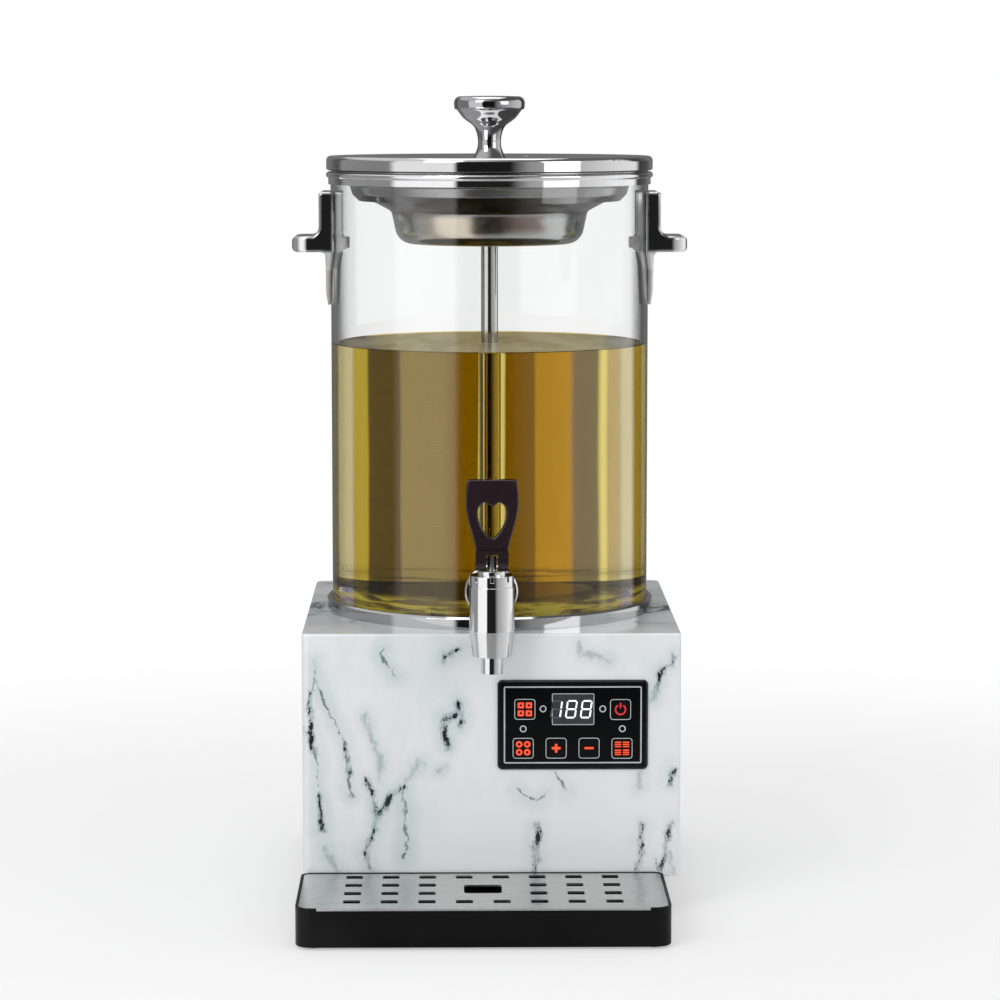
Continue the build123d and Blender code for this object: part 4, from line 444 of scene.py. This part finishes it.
def tea_surface():
    """The tea's top: clear from above, and at a flat angle a cloudy tan colour, a painted sheen."""
    s = Shader("tea_surface", Roughness=0.30, IOR=1.06)
    painted_sheen_cloud = s.noise(s.place((1, 0.35, 1)), 34, 3)
    # Painted sheen: a cloudy tan that shows where the top turns opaque at a flat angle
    s.set("Base Color", s.mix(s.span(painted_sheen_cloud, 0.40, 0.62), (0.74, 0.66, 0.42), (0.54, 0.46, 0.22)))
    s.set("Transmission Weight", s.span(s.facing(), 0.55, 0.90, 1.0, 0.25))
    s.set("Specular Tint", (0.80, 0.72, 0.45, 1))
    return s.material


def pan_steel():
    """Satin steel of the pan: darker above, painted shade, and painted reflections of tea leaves in brown
    and beige below.
    """
    s = Shader("pan_steel", Metallic=1.0)
    height = s.parts(s.place())["Z"]
    below = s.span(height, PAN_WAIST_Z, PAN_WAIST_Z - 5 * MM)
    wobble = s.noise(s.place(), 45, 3)
    turn = s.math("ADD", s.round_jar(), s.math("MULTIPLY", wobble, 0.25))
    cloud = s.noise(s.place((1, 1, 0.4)), 26, 3)
    # Painted shade: the steel above the waist is darker than below it
    shaded_upper = s.mix(s.span(cloud, 0.35, 0.65), (0.26, 0.26, 0.26), (0.40, 0.40, 0.40))
    lower = s.mix(s.span(cloud, 0.35, 0.65), (0.52, 0.53, 0.53), (0.64, 0.645, 0.64))
    # Painted reflections of tea leaves: beige and brown patches placed by the angle round the jar
    beige = s.math("MULTIPLY", s.span(turn, -0.75, -0.50), s.span(turn, 0.10, -0.05))
    lower = s.mix(s.math("MULTIPLY", beige, 0.7), lower, (0.72, 0.61, 0.45))
    brown = s.math("MULTIPLY", s.span(turn, -0.05, 0.15), s.span(turn, 0.75, 0.60))
    brown = s.math("MULTIPLY", brown, s.span(height, PAN_WAIST_Z - 17 * MM, PAN_WAIST_Z - 9 * MM))
    lower = s.mix(s.math("MULTIPLY", brown, 0.8), lower, (0.22, 0.13, 0.09))
    s.set("Base Color", s.mix(below, shaded_upper, lower))
    s.set("Roughness", s.span(s.noise(s.place(), 60, 3), 0.3, 0.7, 0.17, 0.26))
    s.bump(s.noise(s.place((30, 30, 1200)), 1, 3), 0.00002, 0.4)
    return s.material


CHROME = chrome()
HANDLE_CHROME = chrome("handle_chrome", edge=3.2 * MM)
# The ring, the knob and the lid are darker copies of the same chrome: painted shade
RING_CHROME = chrome("ring_chrome", (0.52, 0.52, 0.525))
KNOB_CHROME = chrome("knob_chrome", (0.46, 0.46, 0.47))
LID_CHROME = chrome("lid_chrome", (0.66, 0.66, 0.665))
STEEL_X = brushed("brushed_steel", (14, 900, 900), (0.78, 0.79, 0.775))
TUBE_STEEL = brushed("drawn_tube", (900, 900, 9), (0.74, 0.73, 0.70), (0.04, 0.09))
PAN_STEEL = pan_steel()
STEEL_PLAIN = brushed("turned_steel", (420, 420, 420), rough=(0.25, 0.38))
SPUN = spun("spun_steel", JAR)
# Dish and bell: stainless steel given a bright golden tint, painted light that stands in for the glow seen
# through the tea
DISH_STEEL = spun("dish_steel", JAR, (0.90, 0.82, 0.56), (0.38, 0.55))
GLASS = glass()
TEA = tea()
MARBLE = marble()
LEVER_BLACK = plastic("lever_black", (0.020, 0.010, 0.014), 0.26, 0.000004, coat=0.25)
TRAY_BLACK = plastic("tray_black", (0.0045, 0.0045, 0.0045), 0.32, 0.00001, shine=0.16)
PANEL_BLACK = plastic("panel_black", (0.0030, 0.0034, 0.0038), 0.10, shine=0.25)
WINDOW_SMOKE = plastic("window_smoke", (0.045, 0.048, 0.054), 0.12, coat=0.3)
BEZEL_BLACK = plastic("bezel_black", (0.004, 0.0042, 0.0045), 0.14, shine=0.4)
KEY_BLACK = plastic("key_black", (0.005, 0.0052, 0.0055), 0.16, shine=0.25)
RUBBER = plastic("rubber", (0.018, 0.018, 0.018), 0.7, 0.00002)
SILICONE = plastic("silicone", (0.62, 0.63, 0.61), 0.45, 0.00001)
SEAL_DARK = plastic("dark_seal", (0.03, 0.03, 0.03), 0.55, 0.00001)
GREY_PRINT_AND_HIGHLIGHT = plastic("grey_print_and_highlight", (0.50, 0.54, 0.56), 0.45)
PLATE_PAINT = plastic("plate_paint", (0.03, 0.03, 0.032), 0.5, 0.00002)
BOARD_GREEN = plastic("circuit_board", (0.02, 0.16, 0.07), 0.35)
CERAMIC = plastic("thermostat_ceramic", (0.70, 0.66, 0.56), 0.5)
ELEMENT = brushed("element_sheath", (300, 300, 300), (0.22, 0.20, 0.19), (0.4, 0.6))
ALUMINIUM = brushed("cast_aluminium", (200, 200, 200), (0.66, 0.67, 0.68), (0.4, 0.6))
BRASS = brushed("inlet_brass", (300, 300, 300), (0.72, 0.56, 0.28), (0.2, 0.35))
ORANGE = glow("orange_sign", (0.84, 0.062, 0.018), 1.0)
RED = glow("red_sign", (0.46, 0.013, 0.017), 1.0)
DIGIT = glow("display_digit", (0.80, 0.88, 0.92), 1.0)
DIGIT_OFF = plastic("display_digit_off", (0.085, 0.090, 0.098), 0.3)

FINISHES = {
    MARBLE: ["base_housing"],
    PLATE_PAINT: ["base_bottom_plate"],
    RUBBER: ["rubber_feet", "tray_pads", "tap_washers", "handle_washers"],
    SILICONE: ["jar_foot_seal", "jar_rim_gasket", "tap_seat_cup"],
    SEAL_DARK: ["lid_seal"],
    STEEL_PLAIN: [
        "foot_screws", "case_screws", "hex_nuts", "dish_clamp_ring", "handle_bolts", "tap_nut",
        "knob_screw", "tap_stem", "tap_lever_pin",
    ],
    SPUN: ["pan_sieve", "spray_nozzle", "spreader_plate", "lid_liner"],
    DISH_STEEL: ["heating_dish", "pump_bell"],
    PAN_STEEL: ["pan_hanger", "brew_pan"],
    TUBE_STEEL: ["riser_tube"],
    STEEL_X: ["drip_grille"],
    CHROME: ["jar_rim_ring", "tap_body", "tap_collar", "tap_bonnet"],
    KNOB_CHROME: ["lid_knob"],
    LID_CHROME: ["lid_shell"],
    HANDLE_CHROME: ["handle_left", "handle_right"],
    RING_CHROME: ["jar_base_ring"],
    GLASS: ["glass_jar"],
    LEVER_BLACK: ["tap_lever"],
    BEZEL_BLACK: ["panel_bezel", "display_module"],
    PANEL_BLACK: ["panel_fascia"],
    WINDOW_SMOKE: ["display_window"],
    KEY_BLACK: [
        "key_menu", "key_power", "key_timer", "key_plus", "key_minus", "key_mode", "indicator_lights",
    ],
    TRAY_BLACK: ["drip_tray", "mains_inlet", "key_switches"],
    BOARD_GREEN: ["control_board", "power_board"],
    ALUMINIUM: ["heater_plate"],
    ELEMENT: ["heating_element"],
    CERAMIC: ["thermostats"],
    BRASS: ["inlet_pins"],
}
for finish, members in FINISHES.items():
    for member in members:
        nodes[member].data.materials.clear()
        nodes[member].data.materials.append(finish)


# Mesh helpers
SHARP_ANGLE = math.radians(32)


def add_piece(name, mesh, material, body):
    """Puts a mesh in the scene as a piece that rides on a body."""
    piece = bpy.data.objects.new(name, mesh)
    scene.collection.objects.link(piece)
    mesh.materials.append(material)
    mesh.shade_smooth()
    mesh.set_sharp_from_angle(angle=SHARP_ANGLE)
    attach(piece, body)
    return piece


def rounded(points, radii, steps=5, closed=True):
    """Points of an outline whose corners are turned into arcs of the given radii."""
    out = []
    count = len(points)
    for i, (point, r) in enumerate(zip(points, radii)):
        here = Vector(point)
        if not closed and i in (0, count - 1) or r <= 0:
            out.append(here)
            continue
        back = Vector(points[i - 1]) - here
        ahead = Vector(points[(i + 1) % count]) - here
        half = back.angle(ahead) / 2
        reach = min(r / math.tan(half), 0.49 * back.length, 0.49 * ahead.length)
        start = here + back.normalized() * reach
        end = here + ahead.normalized() * reach
        for step in range(steps + 1):
            t = step / steps
            out.append(start * (1 - t) ** 2 + here * 2 * t * (1 - t) + end * t**2)
    return out


def lathe(name, profile, centre, material, body, turns=224):
    """A turned piece: a (radius, height) profile swept about an upright axis."""
    mesh = bpy.data.meshes.new(name)
    work = bmesh.new()
    rings = []
    for r, z in profile:
        count = turns if r > 0 else 1
        angles = [2 * math.pi * k / turns for k in range(count)]
        rings.append(
            [work.verts.new((centre.x + r * math.cos(a), centre.y + r * math.sin(a), z)) for a in angles]
        )
    for one, two in zip(rings, rings[1:]):
        for k in range(turns):
            n = (k + 1) % turns
            if len(one) == 1:
                work.faces.new((one[0], two[n], two[k]))
            elif len(two) == 1:
                work.faces.new((one[k], one[n], two[0]))
            else:
                work.faces.new((one[k], one[n], two[n], two[k]))
    bmesh.ops.recalc_face_normals(work, faces=work.faces)
    work.to_mesh(mesh)
    work.free()
    return add_piece(name, mesh, material, body)


def rounded_rectangle(width, height, r, steps=6):
    w, h = width / 2, height / 2
    return rounded([(-w, -h), (w, -h), (w, h), (-w, h)], [r] * 4, steps)


def circle(r, steps=40):
    angles = [2 * math.pi * k / steps for k in range(steps)]
    return [Vector((r * math.cos(a), r * math.sin(a))) for a in angles]


def sign(name, loops, place, thickness, material, body):
    """A thin flat sign that faces -Y. Loops inside loops are holes. Place is its back's middle."""
    curve = bpy.data.curves.new(name + "_outline", "CURVE")
    curve.dimensions = "2D"
    curve.fill_mode = "BOTH"
    curve.extrude = thickness / 2
    for loop in loops:
        spline = curve.splines.new("POLY")
        spline.points.add(len(loop) - 1)
        for point, (x, y) in zip(spline.points, loop):
            point.co = (x, y, 0, 1)
        spline.use_cyclic_u = True
    holder = bpy.data.objects.new(name + "_outline", curve)
    scene.collection.objects.link(holder)
    mesh = bpy.data.meshes.new_from_object(holder.evaluated_get(bpy.context.evaluated_depsgraph_get()))
    bpy.data.objects.remove(holder)
    for vertex in mesh.vertices:
        x, y, z = vertex.co
        vertex.co = (place.x + x, place.y - thickness / 2 - z, place.z + y)
    mesh.name = name
    mesh.materials.clear()
    return add_piece(name, mesh, material, body)


# Tea: a clear body that fills the jar up to its level, wetting the glass
TEA_LEVEL = 0.3845
TEA_CREEP = 0.0008         # height and width of the liquid's curved edge at the glass
WET = 0.00012              # overlap of the tea's side with the glass
dish_top = high("heating_dish").z
seal_in = radius("jar_foot_seal") - 6 * MM
inside = GLASS_R - GLASS_T
tea_profile = rounded(
    [
        (0, dish_top + WET),
        (seal_in, dish_top + WET),
        (seal_in, low("glass_jar").z + WET),
        (inside + WET, low("glass_jar").z + WET),
        (inside + WET, TEA_LEVEL + TEA_CREEP),
        (inside - TEA_CREEP, TEA_LEVEL),
        (0, TEA_LEVEL),
    ],
    [0, 0, 0, 0, 0, 2 * TEA_CREEP, 0],
    closed=False,
)
tea_body = lathe("tea", tea_profile, JAR, TEA, "root")
tea_body.data.materials.append(tea_surface())
for face in tea_body.data.polygons:
    if face.normal.z > 0.5:
        face.material_index = 1


# Signs on the control panel, and a painted highlight along the fascia's edge
# The painted edge highlight has the same thickness as the printed signs
PRINT = 0.00006            # thickness of printed signs
FACE_Y = low("panel_fascia").y
PANEL = middle("panel_fascia")
fascia_w = high("panel_fascia").x - low("panel_fascia").x
fascia_h = high("panel_fascia").z - low("panel_fascia").z


def frame_sign(name, width, height, r, line, place, material, body):
    outer = rounded_rectangle(width, height, r)
    inner = rounded_rectangle(width - 2 * line, height - 2 * line, max(r - line, 0.1 * MM))
    return sign(name, [outer, inner], place, PRINT, material, body)


# Grey line along the fascia's edge: a painted edge highlight
frame_sign(
    "panel_edge_highlight", fascia_w - 0.6 * MM, fascia_h - 0.6 * MM, 1.4 * MM, 1.0 * MM,
    Vector((PANEL.x, FACE_Y, PANEL.z)), GREY_PRINT_AND_HIGHLIGHT, "root",
)
window = middle("display_window")
window_w = high("display_window").x - low("display_window").x
window_h = high("display_window").z - low("display_window").z
frame_sign(
    "display_frame", window_w + 0.5 * MM, window_h + 0.5 * MM, 0.9 * MM, 0.5 * MM,
    Vector((window.x, FACE_Y, window.z)), GREY_PRINT_AND_HIGHLIGHT, "root",
)
LED_PLACES = {
    "led_left": (-20.4, 11.2), "led_right": (20.5, 11.1), "led_low_left": (-34.0, -2.7),
    "led_low_right": (34.0, -2.7),
}
for led, (x, z) in LED_PLACES.items():
    place = Vector((PANEL.x + x * MM, low("indicator_lights").y, PANEL.z + z * MM))
    sign(led + "_ring", [circle(2.4 * MM), circle(1.6 * MM)], place, PRINT, GREY_PRINT_AND_HIGHLIGHT, "root")

# Display digits: seven slanted segments each
DIGIT_W = 6.3 * MM
DIGIT_H = 11.6 * MM
DIGIT_PITCH = 10.2 * MM
DIGITS_LEFT = 1.2 * MM     # how far the digits stand left of the window's middle
SEGMENT = 1.05 * MM
SLANT = 0.13
SEGMENT_GAP = 0.25 * MM


def segment_loop(start, end):
    """A long hexagon from one point to another."""
    start, end = Vector(start), Vector(end)
    along = (end - start).normalized()
    side = Vector((-along.y, along.x)) * SEGMENT / 2
    start += along * SEGMENT_GAP
    end -= along * SEGMENT_GAP
    tip = along * SEGMENT / 2
    loop = [start, start + tip + side, end - tip + side, end, end - tip - side, start + tip - side]
    return [Vector((p.x + SLANT * p.y, p.y)) for p in loop]


def digit_loops(segments, shift):
    w, h = DIGIT_W / 2, DIGIT_H / 2
    ends = {
        "a": ((-w, h), (w, h)), "b": ((w, h), (w, 0)), "c": ((w, 0), (w, -h)), "d": ((w, -h), (-w, -h)),
        "e": ((-w, -h), (-w, 0)), "f": ((-w, 0), (-w, h)), "g": ((-w, 0), (w, 0)),
    }
    return [[p + Vector((shift, 0)) for p in segment_loop(*ends[s])] for s in segments]


digits = [
    loop
    for segments, place in (("bc", -1), ("abcdefg", 0), ("abcdefg", 1))
    for loop in digit_loops(segments, place * DIGIT_PITCH)
]
window_face = Vector((window.x - DIGITS_LEFT, low("display_window").y, window.z))
sign("display_digits", digits, window_face, PRINT, DIGIT, "root")
sign("display_unlit", digit_loops("adefg", -DIGIT_PITCH), window_face, PRINT, DIGIT_OFF, "root")


# Key signs: generic marks in a two by two block, a power sign, a plus and a minus
def box_loop(width, height, x=0.0, y=0.0, r=0.15 * MM):
    return [p + Vector((x, y)) for p in rounded_rectangle(width, height, r, 2)]


MARK_PITCH = 5.5 * MM


def four_places(pitch):
    return [(x * pitch / 2, y * pitch / 2) for x in (-1, 1) for y in (-1, 1)]


def squares():
    loops = []
    for x, y in four_places(MARK_PITCH):
        loops.append(box_loop(4.3 * MM, 4.1 * MM, x, y, 0.5 * MM))
        loops.append(box_loop(1.7 * MM, 1.5 * MM, x, y, 0.3 * MM))
    return loops


def rings():
    loops = []
    for x, y in four_places(MARK_PITCH):
        for r in (2.25 * MM, 1.0 * MM):
            loops.append([p + Vector((x, y)) for p in circle(r, 28)])
    return loops


def bars():
    loops = []
    for x, y in four_places(MARK_PITCH):
        for level in (-1.5, 0, 1.5):
            loops.append(box_loop(4.3 * MM, 0.8 * MM, x, y + level * MM))
    return loops


def cross():
    a, b = 3.0 * MM, 0.85 * MM
    points = [
        (a, b), (b, b), (b, a), (-b, a), (-b, b), (-a, b),
        (-a, -b), (-b, -b), (-b, -a), (b, -a), (b, -b), (a, -b),
    ]
    return [[Vector(p) for p in points]]


def dash():
    return [box_loop(6.2 * MM, 1.4 * MM)]


def power():
    """An open ring with a bar in its gap."""
    r, line, opening = 3.4 * MM, 1.1 * MM, math.radians(32)
    start, end = math.pi / 2 + opening, 2.5 * math.pi - opening
    angles = [start + (end - start) * k / 40 for k in range(41)]
    outer = [Vector((math.cos(a), math.sin(a))) * (r + line / 2) for a in angles]
    inner = [Vector((math.cos(a), math.sin(a))) * (r - line / 2) for a in reversed(angles)]
    return [outer + inner, box_loop(line, 3.8 * MM, 0, r - 0.6 * MM)]


KEY_SIGNS = {
    "key_menu": (squares, ORANGE), "key_power": (power, RED), "key_timer": (rings, ORANGE),
    "key_plus": (cross, ORANGE), "key_minus": (dash, ORANGE), "key_mode": (bars, ORANGE),
}
for key, (make_loops, material) in KEY_SIGNS.items():
    body = key.replace("key_", "") + "_button"
    here = middle(key)
    place = Vector((here.x, low(key).y, here.z))
    sign(key + "_sign", make_loops(), place, PRINT, material, body)
    frame_sign(key + "_outline", 14.4 * MM, 14.4 * MM, 2.5 * MM, 0.5 * MM, place, GREY_PRINT_AND_HIGHLIGHT, body)


# What polished surfaces see round the object: degrees from the front, clockwise from above, and level
SURROUND = [
    (-180, 0.17), (-154, 0.22), (-134, 0.10), (-126, 0.34), (-75, 0.30), (-70, 1.10), (-26, 1.15),
    (-23, 0.015), (14, 0.015), (28, 0.40), (62, 0.65), (104, 1.05), (124, 1.05), (130, 0.06),
    (146, 0.10), (156, 0.20), (180, 0.17),
]
CEILING = (0.16, 0.85)     # from the right to the left
PLAIN_LIGHT = 0.62
FLOOR_SIZE = 24


def surround_level(tree, x, y):
    """The surround's level in the direction of x and y."""
    turn = tree.math("ARCTAN2", x, tree.math("MULTIPLY", y, -1.0))
    share = tree.span(turn, -math.pi, math.pi, smooth=False)
    return tree.ramp(share, [(0.5 + degrees / 360, (v, v, v)) for degrees, v in SURROUND])


def sight(tree):
    """Shares of what is seen straight or through clear pieces, and of what is seen after a reflection."""
    paths = tree.tree.nodes.new("ShaderNodeLightPath")
    mirrored = tree.math("MINIMUM", paths.outputs["Glossy Depth"], 1.0)
    straight = tree.math("MAXIMUM", paths.outputs["Is Camera Ray"], paths.outputs["Is Transmission Ray"])
    return tree.math("MULTIPLY", straight, tree.math("SUBTRACT", 1.0, mirrored)), mirrored


# Stage: a plain floor that fades into the white surround, the world and the lamps
def studio_floor():
    s = Shader("floor", Roughness=0.6)
    patch = s.span(s.noise(s.place(), 3, 2), 0.3, 0.7)
    s.set("Base Color", s.mix(patch, (0.86, 0.86, 0.86), (0.88, 0.88, 0.88)))
    far = s.vector("DISTANCE", s.place(), Vector(), "Value")
    parts = s.parts(s.place())
    direct, mirrored = sight(s)
    seen = s.math("MAXIMUM", direct, mirrored)
    share = s.math("MULTIPLY", s.span(far, 0.25, 1.1, 0.45, 1.0), seen)
    around = surround_level(s, parts["X"], parts["Y"])
    glow_colour = s.mix(direct, around, (1.0, 1.0, 1.0))
    white = s.node("ShaderNodeEmission", Color=glow_colour)
    mix = s.tree.nodes.new("ShaderNodeMixShader")
    s.tree.links.new(share, mix.inputs[0])
    s.tree.links.new(s.surface.outputs[0], mix.inputs[1])
    s.tree.links.new(white.outputs[0], mix.inputs[2])
    s.tree.links.new(mix.outputs[0], s.tree.nodes["Material Output"].inputs["Surface"])
    mesh = bpy.data.meshes.new("floor")
    half = FLOOR_SIZE / 2
    corners = [(-half, -half, 0), (half, -half, 0), (half, half, 0), (-half, half, 0)]
    mesh.from_pydata(corners, [], [(0, 1, 2, 3)])
    mesh.materials.append(s.material)
    floor = bpy.data.objects.new("floor", mesh)
    scene.collection.objects.link(floor)


def studio_world():
    world = bpy.data.worlds.new("studio")
    scene.world = world
    world.use_nodes = True
    w = Nodes(world.node_tree)
    view = w.tree.nodes.new("ShaderNodeTexCoord").outputs["Generated"]
    parts = w.parts(view)
    around = surround_level(w, parts["X"], parts["Y"])
    above = w.span(parts["Z"], 0.35, 0.6)
    ceiling = w.span(parts["X"], 0.35, -0.45, *CEILING)
    studio = w.mix(above, around, ceiling)
    direct, mirrored = sight(w)
    lit = w.mix(mirrored, (PLAIN_LIGHT, PLAIN_LIGHT, PLAIN_LIGHT), studio)
    w.put(w.tree.nodes["Background"], "Color", w.mix(direct, lit, (1.0, 1.0, 1.0)))


def lamp(name, place, aim, size, power):
    data = bpy.data.lights.new(name, "AREA")
    data.shape = "RECTANGLE"
    data.size, data.size_y = size
    data.energy = power
    light = bpy.data.objects.new(name, data)
    light.location = place
    light.rotation_euler = (Vector(aim) - Vector(place)).to_track_quat("-Z", "Y").to_euler()
    scene.collection.objects.link(light)


studio_floor()
studio_world()
lamp("key_light", (-1.1, -1.5, 1.5), (0, 0, 0.25), (0.9, 1.1), 16)
lamp("fill_light", (1.5, -1.2, 0.9), (0, 0, 0.25), (1.0, 1.0), 6)
lamp("top_light", (0, 0.2, 2.0), (0, 0, 0.2), (1.2, 1.2), 9)
